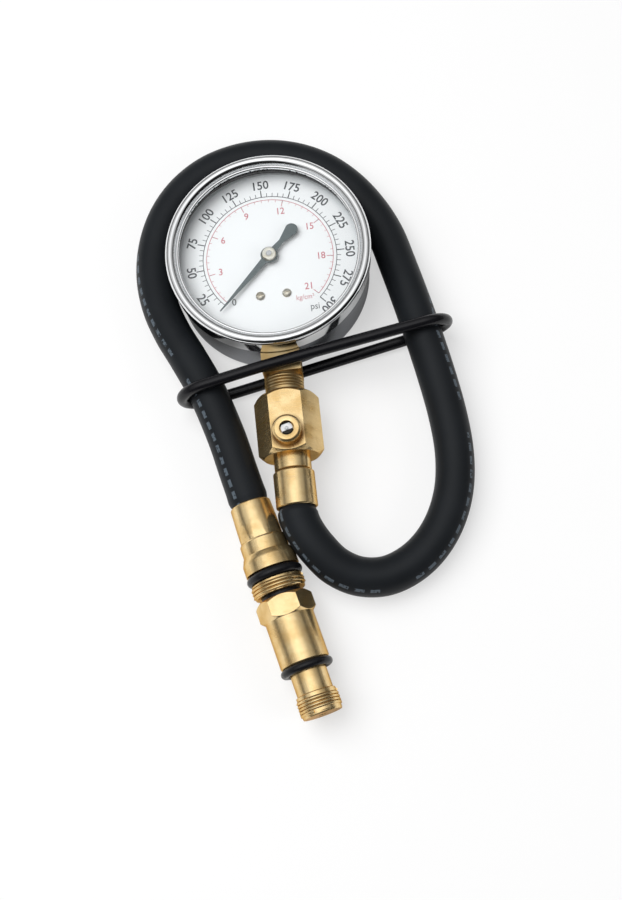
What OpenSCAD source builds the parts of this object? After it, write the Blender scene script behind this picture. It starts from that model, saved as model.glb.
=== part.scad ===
// Engine compression tester: a bourdon pressure gauge on a short rubber hose.
// The gauge lies on its back. Its dial axis is Z, the table is z = 0, and the
// stem, the bleed valve and the hose ferrule run out along -Y.
// All sizes are millimetres and all angles are degrees.

/* [Gauge case] */
// Outer radius of the pressed cup
case_r = 32.8; // [31:0.1:34]
// Height of the cup from its back to its rim
case_h = 22.6; // [21:0.1:26]
// Sheet thickness of the cup
case_wall = 0.9; // [0.6:0.1:1.4]
// Radius of the rounded edge round the back
case_edge_r = 3.5; // [2:0.1:5]
// Drop from the rim of the cup to the stem axis
stem_drop = 10.1; // [9.6:0.1:10.6]

/* [Bezel and window] */
// How far the rolled bezel stands out past the cup
bezel_lap = 1.2; // [1:0.1:1.5]
// Radius of the roll round the bezel
bezel_roll_r = 1.7; // [1.2:0.1:2]
// Step from the outside of the cup in to the opening in the bezel
opening_step = 3.3; // [3:0.1:4.5]
// Length of the skirt that grips the cup below its rim
skirt_l = 3.1; // [2:0.1:5]
// Step from the outside of the cup in to the edge of the window
window_step = 1.8; // [1.4:0.1:2.2]
// Thickness of the clear window
window_t = 1.8; // [1:0.1:2.4]
// Thickness of the gasket under the window
gasket_t = 1; // [0.6:0.1:1.6]

/* [Dial and pointer] */
// Gap between the dial plate and the inside of the cup
dial_gap = 0.5; // [0.3:0.1:1.5]
// Thickness of the dial plate
dial_t = 0.5; // [0.4:0.1:1]
// Drop from the rim of the cup to the printed face
dial_drop = 3; // [2.6:0.1:3.2]
// Radius of the hole that the arbor comes through
dial_hole_r = 2.1; // [1.6:0.1:2.4]
// Distance from the dial axis to the line of the two dial screws
dial_screw_y = 13.65; // [13:0.05:15]
// Distance between the two dial screws
dial_screw_gap = 8.8; // [7:0.1:9.4]
// Radius of a dial screw's head
dial_screw_r = 1.5; // [1.2:0.1:1.9]
// Length of the pointer from the axis to its tip
pointer_l = 25.2; // [20:0.1:28]
// Length of the pointer's tail
tail_l = 13.8; // [8:0.1:18]
// Width of the paddle on the tail
paddle_w = 4.4; // [2.5:0.1:6]
// Thickness of the pointer
pointer_t = 0.4; // [0.3:0.1:0.6]
// Height of the pointer over the dial
pointer_lift = 1.6; // [1.3:0.1:1.8]
// Radius of the pointer's brass boss
boss_r = 2.4; // [1.8:0.1:3]
// Full sweep of the pointer
pointer_sweep = 270; // [240:5:280]

/* [Movement] */
// Gear module of the sector and the pinion
gear_module = 0.4; // [0.38:0.01:0.42]
// Teeth on the pinion
pinion_teeth = 12; // [12:1:12]
// Teeth that the sector would have as a full wheel
sector_teeth = 60; // [58:1:62]
// Height of the toothed part of the pinion
pinion_h = 2.4; // [2:0.1:2.8]
// Thickness of the sector
sector_t = 1; // [0.8:0.1:1.4]
// Radius of the arbors in the front plate
arbor_r = 0.9; // [0.7:0.05:1]
// Radius of the arbor pivots in the back plate
pivot_r = 0.6; // [0.5:0.05:0.65]
// Length of the sector's tail from its arbor to the link pin
sector_tail_l = 4.3; // [4:0.1:4.6]
// Thickness of the two movement plates
plate_t = 0.8; // [0.6:0.1:1]
// Clear height between the two movement plates
plate_gap = 7.5; // [7.4:0.1:7.8]
// Radius of the pillars between the plates
pillar_r = 1.5; // [1.2:0.1:1.8]
// Turns of the hairspring
hairspring_turns = 4; // [3:1:5]
// Step from one turn of the hairspring to the next
hairspring_pitch = 0.7; // [0.65:0.01:0.75]

/* [Bourdon tube] */
// Mean radius of the curved tube
tube_r = 24; // [23.8:0.1:24.6]
// Width of the flattened tube along the dial axis
tube_w = 7; // [6:0.1:7.4]
// Thickness of the flattened tube
tube_t = 2.4; // [2:0.1:2.6]
// Wall of the tube
tube_wall = 0.35; // [0.25:0.05:0.5]
// Angle of the tube's closed end round the dial
tube_end_a = -12; // [-13:0.5:-10]
// Angle of the pin that the link hangs on
tip_pin_a = -16; // [-17:0.5:-15]

/* [Stem and valve body] */
// Width of the square wrench block
block_w = 12.7; // [12:0.1:13]
// Distance from the dial axis to the outer end of the block
block_end = 40.1; // [39:0.1:41]
// Radius of the stem's tapered thread
stem_thread_r = 6.6; // [6.2:0.1:6.8]
// Length of bare thread between the block and the valve body
stem_gap = 7.2; // [6:0.1:9]
// Size of the valve body's hexagon across its flats
hex_af = 18.5; // [17.5:0.1:20]
// Length of the hexagon
hex_l = 20.8; // [20:0.1:24]
// Radius of the round neck below the hexagon
neck_r = 6; // [5.6:0.1:6.4]
// Length of the round neck
neck_l = 4.9; // [4:0.1:7]

/* [Bleed valve] */
// Distance from the top of the hexagon to the port's axis
port_at = 14.7; // [13.5:0.1:15.5]
// Outer radius of the port's collar
port_r = 4.6; // [4:0.1:5]
// Height of the collar over the flat
port_h = 4.2; // [3.4:0.1:5.5]
// Radius of the port's bore
port_bore_r = 2.35; // [2.2:0.05:2.5]
// Radius of the valve pin in both cores
valve_pin_r = 0.5; // [0.4:0.05:0.6]
// Travel of the bleed pin
bleed_travel = 1; // [0.6:0.1:1.2]
// Wire radius of the valve springs
spring_wire_r = 0.15; // [0.12:0.01:0.18]
// Turns of a valve spring
spring_turns = 5; // [4:1:6]

/* [Hose] */
// Outer radius of the hose
hose_r = 6.35; // [6:0.05:6.5]
// Radius of the hose's bore
hose_bore_r = 2.45; // [2.3:0.05:3]
// Outer radius of the hose where a ferrule grips it
grip_r = 5.75; // [5.4:0.05:5.9]
// Sides of the hose's round section
hose_sides = 12; // [8:1:12]

/* [Ferrules and hose end] */
// Outer radius of the gauge end's ferrule
ferrule_r = 6.7; // [6.5:0.05:7]
// Length of the gauge end's ferrule
ferrule_l = 12; // [10:0.5:12]
// Outer radius of the crimped part of the far ferrule
crimp_r = 7; // [6.8:0.05:7.2]
// Length of the crimped part of the far ferrule
crimp_l = 12.5; // [11:0.5:14]
// Length of the whole far ferrule
far_ferrule_l = 17.1; // [16:0.1:19]
// Outer radius of the far ferrule behind its crimp
far_ferrule_r = 7.6; // [7.3:0.05:7.8]
// Largest radius of the flared hose end
flare_r = 8.75; // [8.4:0.05:8.8]
// Length of the flared part
flare_l = 5.8; // [5:0.1:6.5]
// Radius of the large spark plug thread on the hose end
large_thread_r = 8.9; // [8.7:0.05:9]
// Length of the large thread
large_thread_l = 4.3; // [3.5:0.1:5]

/* [Adapter] */
// Size of the adapter's hexagon across its flats
adapter_af = 16; // [15:0.1:16.4]
// Length of the adapter's hexagon
adapter_hex_l = 7.1; // [6:0.1:9]
// Radius of the adapter's round barrel
barrel_r = 7.9; // [7.4:0.05:8]
// Length of the barrel
barrel_l = 14.9; // [12:0.1:18]
// Radius of the neck between the barrel and the tip thread
tip_neck_r = 5.8; // [5.4:0.05:6]
// Length of that neck
tip_neck_l = 9.3; // [7:0.1:11]
// Radius of the small spark plug thread on the tip
tip_thread_r = 7; // [6.6:0.05:7.2]
// Length of the tip thread
tip_thread_l = 7.1; // [6:0.1:9]
// Radius of the adapter's inner stub
stub_r = 4.5; // [4:0.1:4.8]
// Length of the inner stub
stub_l = 9.8; // [9.5:0.1:10.5]
// Radius of the hole in the tip's end face
tip_hole_r = 1.2; // [0.9:0.05:1.6]
// Travel of the check valve's pin
check_travel = 1; // [0.6:0.1:1.2]

/* [Seals and retaining band] */
// Section radius of the large O-ring
large_seal_r = 1.5; // [1.2:0.05:1.6]
// Section radius of the small O-ring
small_seal_r = 1.3; // [1:0.05:1.5]
// Thickness of the flat seal between the hose end and the adapter
flat_seal_t = 1.3; // [1:0.1:2]
// Section radius of the retaining band
band_r = 1.9; // [1.6:0.1:2]
// Space between the bezel and the band's upper strand
band_gap = 1.3; // [0.8:0.1:2]
// How much nearer to the gauge the band's lower strand lies than its upper one
low_shift = 1.2; // [0.9:0.1:1.3]

/* [Fits] */
// Clearance of a shaft that turns or slides in a hole
run_fit = 0.04; // [0.02:0.01:0.08]
// Clearance between two pieces that are assembled and stay put
seat_fit = 0.05; // [0.02:0.01:0.1]
// Clearance between soft or curved pieces that lie beside each other
lie_fit = 0.15; // [0.1:0.05:0.3]
// Least clearance between pieces that move past each other
body_gap = 0.3; // [0.3:0.05:0.4]
// Clearance of the link's open eye round the sector's pin
open_eye_fit = 0.55; // [0.5:0.05:0.6]

/* [Hidden] */
$fn = 64;

brass = "#c9a24d";
chrome = "#c8cbcf";
steel = "#8f9498";
rubber = "#1d1f20";

// Radii and stations of the gauge
bezel_r = case_r + bezel_lap;
opening_r = case_r - opening_step;
window_r = case_r - window_step;
dial_r = case_r - case_wall - dial_gap;
stem_z = case_h - stem_drop;
dial_z = case_h - dial_drop;
window_z = case_h + gasket_t;
lip_z = window_z + window_t + seat_fit;
arm_top = stem_z - 4.5;
arm_t = 3.5;
back_plate_z = arm_top;
front_plate_z = back_plate_z + plate_t + plate_gap;
pinion_lift = 1.4;
pinion_z = back_plate_z + plate_t + pinion_lift;
sector_z = pinion_z + (pinion_h - sector_t)/2;
link_t = 0.6;
pin_end = 0.3;
link_drop = link_t + pin_end + 0.5;
link_z = front_plate_z - link_drop;
tube_z = stem_z - 1.5;
pin_top = link_z + link_t + pin_end;
pin_r = 0.6;
pointer_z = dial_z + pointer_lift;
boss_top = pointer_z + 1.8;

// Stations along the stem, as distances from the dial axis towards -Y
block_start = 20.5;
hex_start = block_end + stem_gap;
hex_end = hex_start + hex_l;
neck_end = hex_end + neck_l;
ferrule_end = neck_end + ferrule_l;
stem_engage = 8;
stem_bore_r = 1.5;
tap_r = stem_thread_r - 0.4;
port_y = hex_start + port_at;
flat_z = stem_z + hex_af/2;

// Stations along the far fitting, measured from the ferrule's mouth
flare_end = far_ferrule_l + flare_l;
groove_l = 2*large_seal_r + 0.5;
groove_r = 6.1;
large_thread_start = flare_end + groove_l;
hose_end_l = large_thread_start + large_thread_l;
adapter_start = hose_end_l + flat_seal_t + 2*seat_fit;
barrel_start = adapter_start + adapter_hex_l;
barrel_end = barrel_start + barrel_l;
tip_thread_start = barrel_end + tip_neck_l;
tip_end = tip_thread_start + tip_thread_l;
nipple_r = 2.3;
nipple_bore_r = 1.5;

// Place and direction of the far fitting on the table
far_mouth = [-15.3, -81.2, 9.3];
far_turn = 13.4;

// Points along the middle of the hose, from the valve body to the far ferrule.
// The far end is worked out from the far fitting, so that it enters it square.
function far_point(along) = far_mouth + along*[sin(far_turn), -cos(far_turn), 0];
hose_points = [
    [0, -(neck_end + seat_fit), stem_z], [0, -79, stem_z], [0, -(ferrule_end + 0.1), stem_z],
    [0.2, -88.4, 12.5], [1.9, -93.2, 12], [5.2, -98.8, 10.9], [10, -104.4, 9.2], [17, -108.2, 7.6],
    [25.5, -108.9, 6.7], [34, -105.9, 6.4], [41.3, -100.2, 6.4], [47, -92.2, 6.4],
    [50.8, -82.4, 6.4], [52.4, -71, 6.6], [51.9, -58.5, 7.7], [50, -45, 9.5], [47.4, -30.2, 10.6],
    [44.9, -16.5, 10], [42.4, -3.5, 8.5], [39.8, 8.6, 7.1], [35.8, 18.6, 6.5], [29.8, 28.2, 6.4],
    [22, 36.2, 6.4], [12.5, 41.8, 6.4], [2, 44.6, 6.4], [-9, 44.4, 6.4], [-19.5, 41.2, 6.4],
    [-28.6, 34.8, 6.4], [-35.4, 26, 6.4], [-39.6, 15.2, 6.4], [-41, 4, 6.6], [-39.6, -7.5, 7.8],
    [-36, -18.4, 9.3], [-31.2, -28.8, 10.4], [-25.9, -41.2, 10.6], [-21, -57, 10.1],
    far_point(-12), far_point(1), far_point(9), far_point(far_ferrule_l - seat_fit)];
gauge_grip = 2; // last point that the gauge end's ferrule holds
far_grip = 3; // points at the end that the far ferrule holds

module fitting() translate(far_mouth) rotate([0, 0, far_turn]) rotate([90, 0, 0]) children();
module on_stem(at) translate([0, -at, stem_z]) rotate([90, 0, 0]) children();
module ring(outer, inner, height) difference() {
    cylinder(r = outer, h = height);
    translate([0, 0, -1]) cylinder(r = inner, h = height + 2);
}
module bored(inner, height) difference() {
    children();
    translate([0, 0, -1]) cylinder(r = inner, h = height + 2);
}

// A hexagon on the axis with both ends chamfered at 30 degrees
module chamfered_hex(af, length) intersection() {
    cylinder(d = af/cos(30), h = length, $fn = 6);
    hex_cone(af, length);
}
module hex_cone(af, length) {
    corner_r = af/2/cos(30) + 0.05;
    slope = (corner_r - af*0.485)*tan(30)*1.6;
    rotate_extrude() polygon([[0, 0], [af*0.485, 0], [corner_r, slope],
        [corner_r, length - slope], [af*0.485, length], [0, length]]);
}

// Gauge case, window and dial

module cup_outline(r, h, edge) union() {
    square([r - edge, h]);
    translate([0, edge]) square([r, h - edge]);
    translate([r - edge, edge]) circle(edge);
}
module gauge_case() color(chrome) difference() {
    rotate_extrude() intersection() {
        difference() {
            cup_outline(case_r, case_h, case_edge_r);
            translate([0, case_wall])
                cup_outline(case_r - case_wall, case_h, case_edge_r - case_wall);
        }
        square([case_r + 1, case_h + 1]);
    }
    translate([-block_w/2 - lie_fit, -case_r - 1, stem_z - block_w/2 - lie_fit])
        cube([block_w + 2*lie_fit, case_r - block_start, block_w + 2*lie_fit]);
    for (y = case_screw_ys) translate([0, y, 0]) {
        translate([0, 0, -1]) cylinder(r = case_screw_r + run_fit, h = case_wall + 2);
        translate([0, 0, -lie_fit]) cylinder(r1 = case_head_r + 2*lie_fit, r2 = case_screw_r + lie_fit,
            h = case_head_h + 2*lie_fit);
    }
}
roll_at = bezel_r - bezel_roll_r;
skirt_t = 0.85;
roll_z = lip_z + bezel_roll_r/2;
// Angles on the roll where the skirt leaves it and where it meets the inner bead
skirt_a = -acos((case_r + seat_fit + skirt_t - roll_at)/bezel_roll_r);
lip_a = 185;
bead_r = (roll_at - bezel_roll_r - opening_r)/2;
bead_a = 16;
// Points on an arc in a profile, from one angle to another
function arc_points(centre, r, from, to, steps) =
    [for (k = [0:steps]) let (a = from + (to - from)*k/steps) centre + r*[cos(a), sin(a)]];
module bezel_ring() color(chrome) rotate_extrude() polygon(concat(
    [[case_r + seat_fit, case_h - skirt_l], [case_r + seat_fit + skirt_t, case_h - skirt_l]],
    arc_points([roll_at, roll_z], bezel_roll_r, skirt_a, lip_a, 20),
    arc_points([opening_r + bead_r, lip_z + bead_r], bead_r, bead_a, 180, 10),
    [[opening_r, lip_z], [case_r + seat_fit, lip_z]]));
module window_lens() color([0.85, 0.92, 0.95, 0.35])
    translate([0, 0, window_z + seat_fit/2]) cylinder(r = window_r, h = window_t);
module window_gasket() color(rubber) rotate_extrude() {
    translate([opening_r + 0.4, case_h]) square([case_r - lie_fit - opening_r - 0.4, gasket_t]);
    translate([window_r + seat_fit, case_h])
        square([case_r - lie_fit - window_r - seat_fit, lip_z - seat_fit - case_h]);
}
dial_screw_x = dial_screw_gap/2;
module at_dial_screws() for (x = [-dial_screw_x, dial_screw_x])
    translate([x, -dial_screw_y, 0]) children();
module dial_plate() color("white") difference() {
    translate([0, 0, dial_z - dial_t]) cylinder(r = dial_r, h = dial_t);
    translate([0, 0, dial_z - 2]) cylinder(r = dial_hole_r, h = 4);
    at_dial_screws() translate([0, 0, dial_z - 2]) cylinder(r = screw_shank_r + run_fit, h = 4);
}
screw_shank_r = 0.8;
dial_screw_l = 5;
module dial_screws() color(brass) at_dial_screws() translate([0, 0, dial_z]) {
    difference() {
        intersection() {
            cylinder(r = dial_screw_r, h = 0.9);
            translate([0, 0, 0.9 - 2.2]) sphere(2.2);
        }
        translate([-dial_screw_r, -0.2, 0.5]) cube([2*dial_screw_r, 0.4, 1]);
    }
    translate([0, 0, -dial_screw_l]) cylinder(r = screw_shank_r, h = dial_screw_l);
}
post_r = dial_screw_r + 0.3;
module dial_posts() color(brass) at_dial_screws() translate([0, 0, arm_top]) difference() {
    cylinder(r = post_r, h = dial_z - dial_t - arm_top);
    translate([0, 0, dial_z - dial_t - arm_top - dial_screw_l])
        cylinder(r = screw_shank_r + seat_fit, h = dial_screw_l + 1);
}

// Pointer, pinion and hairspring. At rest the pointer stands at zero, lower left.

rest_a = 90 + pointer_sweep/2;
pointer_tip_w = 0.36;
pointer_root_w = 2.6;
tail_neck_w = 1.6;
module pointer() color("#3a4540") translate([0, 0, pointer_z]) rotate(rest_a) difference() {
    linear_extrude(pointer_t) {
        polygon(concat([[pointer_l, -pointer_tip_w/2], [pointer_l, pointer_tip_w/2], [0, pointer_root_w/2],
                [-tail_l*0.45, tail_neck_w/2]],
            [for (k = [0:12]) [-tail_l + paddle_w/2, 0] + paddle_w/2*[cos(90 + 15*k), sin(90 + 15*k)]],
            [[-tail_l*0.45, -tail_neck_w/2], [0, -pointer_root_w/2]]));
        circle(boss_r + 0.5);
    }
    translate([0, 0, -1]) cylinder(r = arbor_r + 0.5 + seat_fit, h = 3);
}
module pointer_boss() color(brass) {
    translate([0, 0, pointer_z + pointer_t])
        bored(arbor_r + seat_fit, boss_top) cylinder(r1 = boss_r, r2 = boss_r - 0.25, h = boss_top - pointer_z - pointer_t);
    translate([0, 0, pointer_z - 0.5])
        ring(arbor_r + 0.5, arbor_r + seat_fit, 0.5 + pointer_t);
}

// One side of an involute tooth as [radius, half angle] at a given radius
function involute(base, r) = let (a = acos(min(1, base/r))) tan(a)*180/PI - a;
function tooth_half(n, pitch, base, thin, r) =
    90/n - thin/pitch*180/PI/2 + involute(base, pitch) - involute(base, max(r, base));
function tooth(n, add, ded, thin, at) = let (
    pitch = gear_module*n/2, base = pitch*cos(20), root = pitch - ded, tip = pitch + add,
    low = max(base, root + 0.02),
    rs = [for (k = [0:4]) low + (tip - low)*k/4],
    hs = [for (r = rs) tooth_half(n, pitch, base, thin, r)])
    concat([root*[cos(at - hs[0]), sin(at - hs[0])]],
        [for (k = [0:4]) rs[k]*[cos(at - hs[k]), sin(at - hs[k])]],
        [for (k = [4:-1:0]) rs[k]*[cos(at + hs[k]), sin(at + hs[k])]],
        [root*[cos(at + hs[0]), sin(at + hs[0])]]);
backlash = 0.08;
module pinion_arbor() color(steel) {
    mesh_a = sector_a + 180/pinion_teeth;
    translate([0, 0, pinion_z]) linear_extrude(pinion_h)
        polygon([for (k = [0:pinion_teeth - 1])
            each tooth(pinion_teeth, gear_module, gear_module*1.2, backlash, mesh_a + k*360/pinion_teeth)]);
    translate([0, 0, back_plate_z + 0.1]) cylinder(r = pivot_r, h = plate_t + 0.3);
    translate([0, 0, back_plate_z + plate_t + lie_fit])
        cylinder(r = arbor_r, h = boss_top - back_plate_z - plate_t - lie_fit);
    translate([0, 0, hairspring_z]) cylinder(r = collet_r, h = hairspring_w);
}
collet_r = 1.5;
hairspring_w = 0.8;
hairspring_z = front_plate_z - 0.6 - hairspring_w;
hairspring_t = 0.15;
stud_a = 200;
// Radius of the spring's middle after a turn of a degrees
function hair_r(a) = collet_r + run_fit + hairspring_t/2 + hairspring_pitch*a/360;
hair_out_r = hair_r(hairspring_turns*360);
function hair_point(a, side) = (hair_r(a) + side*hairspring_t/2)*[cos(a + stud_a), sin(a + stud_a)];
hair_step = 360/20;
module hairspring() color("#6b7a94") translate([0, 0, hairspring_z]) linear_extrude(hairspring_w)
    polygon(concat(
        [for (k = [0:hairspring_turns*20]) hair_point(k*hair_step, 1)],
        [for (k = [hairspring_turns*20:-1:0]) hair_point(k*hair_step, -1)]));

// Sector, link and tube tip. The tube swings about the middle of its fixed end,
// which stands for its bending, and carries the tip by as much as the tail needs.

pinion_pitch = gear_module*pinion_teeth/2;
sector_pitch = gear_module*sector_teeth/2;
sector_turn = pointer_sweep*pinion_teeth/sector_teeth;
tube_root = [-block_w/2 + 1.45, -tube_r + 0.5];
function turn(v, a) = [v.x*cos(a) - v.y*sin(a), v.x*sin(a) + v.y*cos(a)];
tip_pin = tube_r*[cos(tip_pin_a), sin(tip_pin_a)];
tip_arm = tip_pin - tube_root;
tube_swing = 2*asin(sector_tail_l*sin(sector_turn/2)/norm(tip_arm));
mid_pin = tube_root + turn(tip_arm, tube_swing/2);
tail_dir = (mid_pin - tube_root)/norm(tip_arm);
pull_dir = turn(tail_dir, 90);
// The sector's arbor lies on the circle of centres round the pinion
centre_d = pinion_pitch + sector_pitch;
tail_base = mid_pin - sector_tail_l*tail_dir;
pull_b = tail_base*pull_dir;
link_l = -pull_b - sqrt(pull_b*pull_b - tail_base*tail_base + centre_d*centre_d);
sector_at = tail_base + link_l*pull_dir;
sector_a = atan2(sector_at.y, sector_at.x);
tail_a = atan2(tail_dir.y, tail_dir.x) - sector_turn/2;
tail_pin = sector_at + sector_tail_l*[cos(tail_a), sin(tail_a)];
// The link keeps its direction and lies halfway between the two extremes of the pin's side play
tail_offset = sector_tail_l*(1 - cos(sector_turn/2));
tip_offset = norm(tip_arm)*(1 - cos(tube_swing/2));
link_end = tip_pin + link_l*pull_dir - (tail_offset - tip_offset)/2*tail_dir;

sector_first = -1;
// Two windows lighten the sector between its three spokes
spoke_a = 4.5; // half of the middle spoke, as an angle
window_span = sector_turn/2 - 2*spoke_a;
window_in_r = sector_pitch*0.37;
window_out_r = sector_pitch*0.8;
sector_mid = sector_a + 180 - sector_turn/2;
window_as = [sector_mid + spoke_a, sector_mid - spoke_a - window_span];
sector_last = ceil(sector_turn*sector_teeth/360) + 1;
module sector_gear() color(brass) {
    translate([sector_at.x, sector_at.y, sector_z]) {
        linear_extrude(sector_t) difference() {
            union() {
                polygon(concat([[0, 0]], [for (k = [sector_last:-1:sector_first])
                    each tooth(sector_teeth, gear_module*0.75, gear_module*1.25, backlash,
                        sector_a + 180 - k*360/sector_teeth)]));
                circle(2);
                rotate(tail_a) translate([0, -0.9]) square([sector_tail_l, 1.8]);
                rotate(tail_a) translate([sector_tail_l, 0]) circle(1.2);
            }
            circle(arbor_r + seat_fit);
            for (a = window_as) polygon([
                for (k = [0:4]) window_in_r*[cos(a + k*window_span/4), sin(a + k*window_span/4)],
                for (k = [4:-1:0]) window_out_r*[cos(a + k*window_span/4), sin(a + k*window_span/4)]]);
        }
    }
    translate([tail_pin.x, tail_pin.y, sector_z]) cylinder(r = pin_r, h = pin_top - sector_z);
}
module sector_arbor() color(steel) translate([sector_at.x, sector_at.y, 0]) {
    translate([0, 0, back_plate_z + 0.1]) cylinder(r = pivot_r, h = plate_t + 0.3);
    translate([0, 0, back_plate_z + plate_t + lie_fit])
        cylinder(r = arbor_r, h = front_plate_z + plate_t + 0.1 - back_plate_z - plate_t - lie_fit);
}
eye_r = 1.75;
module link_bar() color(brass) translate([tip_pin.x, tip_pin.y, link_z]) {
    reach = link_end - tip_pin;
    difference() {
        linear_extrude(link_t) {
            circle(1.25);
            translate(reach) circle(eye_r);
            rotate(atan2(reach.y, reach.x)) translate([0, -0.75]) square([norm(reach), 1.5]);
        }
        translate([0, 0, -1]) cylinder(r = pin_r + run_fit, h = 3);
        translate([reach.x, reach.y, -1]) cylinder(r = pin_r + open_eye_fit, h = 3);
    }
}

// Bourdon tube: a flattened tube, bent round, fixed in the socket and closed at its tip

tube_start_a = 180 + atan2(tube_r, block_w/2 - 2.85);
module flat_tube_section(grow) union() {
    translate([tube_r - tube_t/2 - grow, -tube_w/2 + tube_t/2])
        square([tube_t + 2*grow, tube_w - tube_t]);
    for (side = [-1, 1]) translate([tube_r, side*(tube_w - tube_t)/2]) circle(tube_t/2 + grow);
}
module bourdon_tube() color("#b98a4a") translate([0, 0, tube_z]) rotate(tube_end_a)
    rotate_extrude(angle = tube_start_a - tube_end_a) difference() {
        flat_tube_section(0);
        flat_tube_section(-tube_wall);
    }
module tube_tip() color(brass) {
    tip_top = link_z - body_gap;
    translate([0, 0, tube_z]) rotate(tube_end_a) {
        // The plug that closes the tube
        rotate([0, 0, -9.5]) rotate_extrude(angle = 9.5 - 0.1) translate([tube_r - 1.8, -tube_w/2 + 0.4])
            square([3.6, tip_top - tube_z + tube_w/2 - 0.4]);
    }
    translate([tip_pin.x, tip_pin.y, tip_top - 0.5]) cylinder(r = pin_r, h = pin_top - tip_top + 0.5);
}

// Movement frame

plate_left = -10;
plate_right = sector_at.x + 3;
plate_low = -8.4;
plate_high = 8;
corner_r = 2;
pillar_spots = [[plate_left + 2.4, plate_high - 2.2], [plate_left + 2.4, plate_low + 2.2],
    [sector_at.x + 0.8, plate_low + 2]];
screw_spots = [[-4.3, 4], [-4.3, -4.6]];
module plate_outline() {
    translate([plate_left, plate_low + corner_r])
        square([plate_right - plate_left, plate_high - plate_low - 2*corner_r]);
    translate([plate_left + corner_r, plate_low])
        square([plate_right - plate_left - 2*corner_r, plate_high - plate_low]);
    for (x = [plate_left + corner_r, plate_right - corner_r], y = [plate_low + corner_r, plate_high - corner_r])
        translate([x, y]) circle(corner_r);
}
module movement_back_plate() color(brass) translate([0, 0, back_plate_z]) difference() {
    linear_extrude(plate_t) plate_outline();
    for (spot = [[0, 0], sector_at]) translate([spot.x, spot.y, -1])
        cylinder(r = pivot_r + run_fit, h = 3);
    for (spot = screw_spots) translate([spot.x, spot.y, -1])
        cylinder(r = screw_shank_r + seat_fit, h = 3);
}
module movement_front_plate() color(brass) {
    translate([0, 0, front_plate_z]) difference() {
        linear_extrude(plate_t) plate_outline();
        for (spot = [[0, 0], sector_at]) translate([spot.x, spot.y, -1])
            cylinder(r = arbor_r + run_fit, h = 3);
        for (spot = pillar_spots) translate([spot.x, spot.y, -1])
            cylinder(r = screw_shank_r + seat_fit, h = 3);
    }
    // The stud that holds the hairspring's outer end
    rotate(stud_a) translate([hair_out_r + hairspring_t/2 + seat_fit, -0.5, hairspring_z])
        cube([0.8, 1, front_plate_z - hairspring_z + 0.1]);
}
module movement_pillars() color(brass) for (spot = pillar_spots)
    translate([spot.x, spot.y, back_plate_z + plate_t]) difference() {
        cylinder(r = pillar_r, h = plate_gap);
        translate([0, 0, plate_gap - 3.4]) cylinder(r = screw_shank_r + seat_fit, h = 4);
    }
pillar_screw_l = 3.8;
plate_screw_l = 3;
small_head_r = 1.4;
small_head_h = 0.8;
slot_w = 0.4;
module cheese_screw(shank) {
    difference() {
        cylinder(r = small_head_r, h = small_head_h);
        translate([-2*small_head_r, -slot_w/2, small_head_h*0.55])
            cube([4*small_head_r, slot_w, small_head_h]);
    }
    translate([0, 0, -shank]) cylinder(r = screw_shank_r, h = shank);
}
module movement_screws() color(steel) {
    for (spot = pillar_spots) translate([spot.x, spot.y, front_plate_z + plate_t]) cheese_screw(pillar_screw_l);
    for (spot = screw_spots) translate([spot.x, spot.y, back_plate_z + plate_t]) cheese_screw(plate_screw_l);
}
case_screw_r = 1.25;
case_head_r = 2.3;
case_head_h = 0.75;
case_screw_l = 4.2;
case_screw_ys = [-24, 5.2];
foot_r = 3;
module case_screws() color(steel) for (y = case_screw_ys) translate([0, y, 0]) {
    difference() {
        translate([0, 0, seat_fit]) cylinder(r1 = case_head_r, r2 = case_screw_r, h = case_head_h);
        translate([-2*case_head_r, -slot_w*0.6, -case_head_h])
            cube([4*case_head_r, slot_w*1.2, case_head_h*1.5]);
    }
    translate([0, 0, case_head_h*0.9]) cylinder(r = case_screw_r, h = case_screw_l);
}

// Stem socket: the brass block that carries tube, movement and thread

module stem_socket() color(brass) difference() {
    union() {
        translate([-block_w/2, -block_end, stem_z - block_w/2])
            cube([block_w, block_end - block_start, block_w]);
        translate([-block_w/2, -block_start - 5, arm_top - arm_t])
            cube([block_w, block_start + 5 + plate_high, arm_t]);
        for (y = case_screw_ys) translate([0, y, case_wall])
            cylinder(r = foot_r, h = arm_top - arm_t/2 - case_wall);
        on_stem(block_end) rotate_extrude() polygon([[0, -1], [stem_thread_r - 0.7, -1],
            [stem_thread_r - 0.7, 0], [stem_thread_r, 0.7], [stem_thread_r, stem_gap - 1.8],
            [tap_r - 0.7, stem_gap - 1.1], [tap_r - 0.7, stem_gap], [tap_r, stem_gap + 0.6],
            [tap_r, stem_gap + stem_engage], [0, stem_gap + stem_engage]]);
    }
    on_stem(tube_r) cylinder(r = stem_bore_r, h = block_end + stem_gap + stem_engage - tube_r + 1);
    translate([-block_w/2, -tube_r, stem_z]) rotate([0, 90, 0]) cylinder(r = 1, h = block_w/2);
    translate([-block_w/2 - 1, -tube_r - tube_t/2 - 0.4, tube_z - tube_w/2 - 0.4])
        cube([1 + 3.4, tube_t + 1.7, tube_w + 0.8]);
    translate([0, 0, arm_top - arm_t - 1]) cylinder(r = 1.2, h = arm_t + 2);
    for (spot = screw_spots) translate([spot.x, spot.y, arm_top - 2.4])
        cylinder(r = screw_shank_r + seat_fit, h = 4);
    for (y = case_screw_ys) translate([0, y, 0]) cylinder(r = case_screw_r + seat_fit, h = 5.2);
}

// Valve body with its side bleed port

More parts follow.
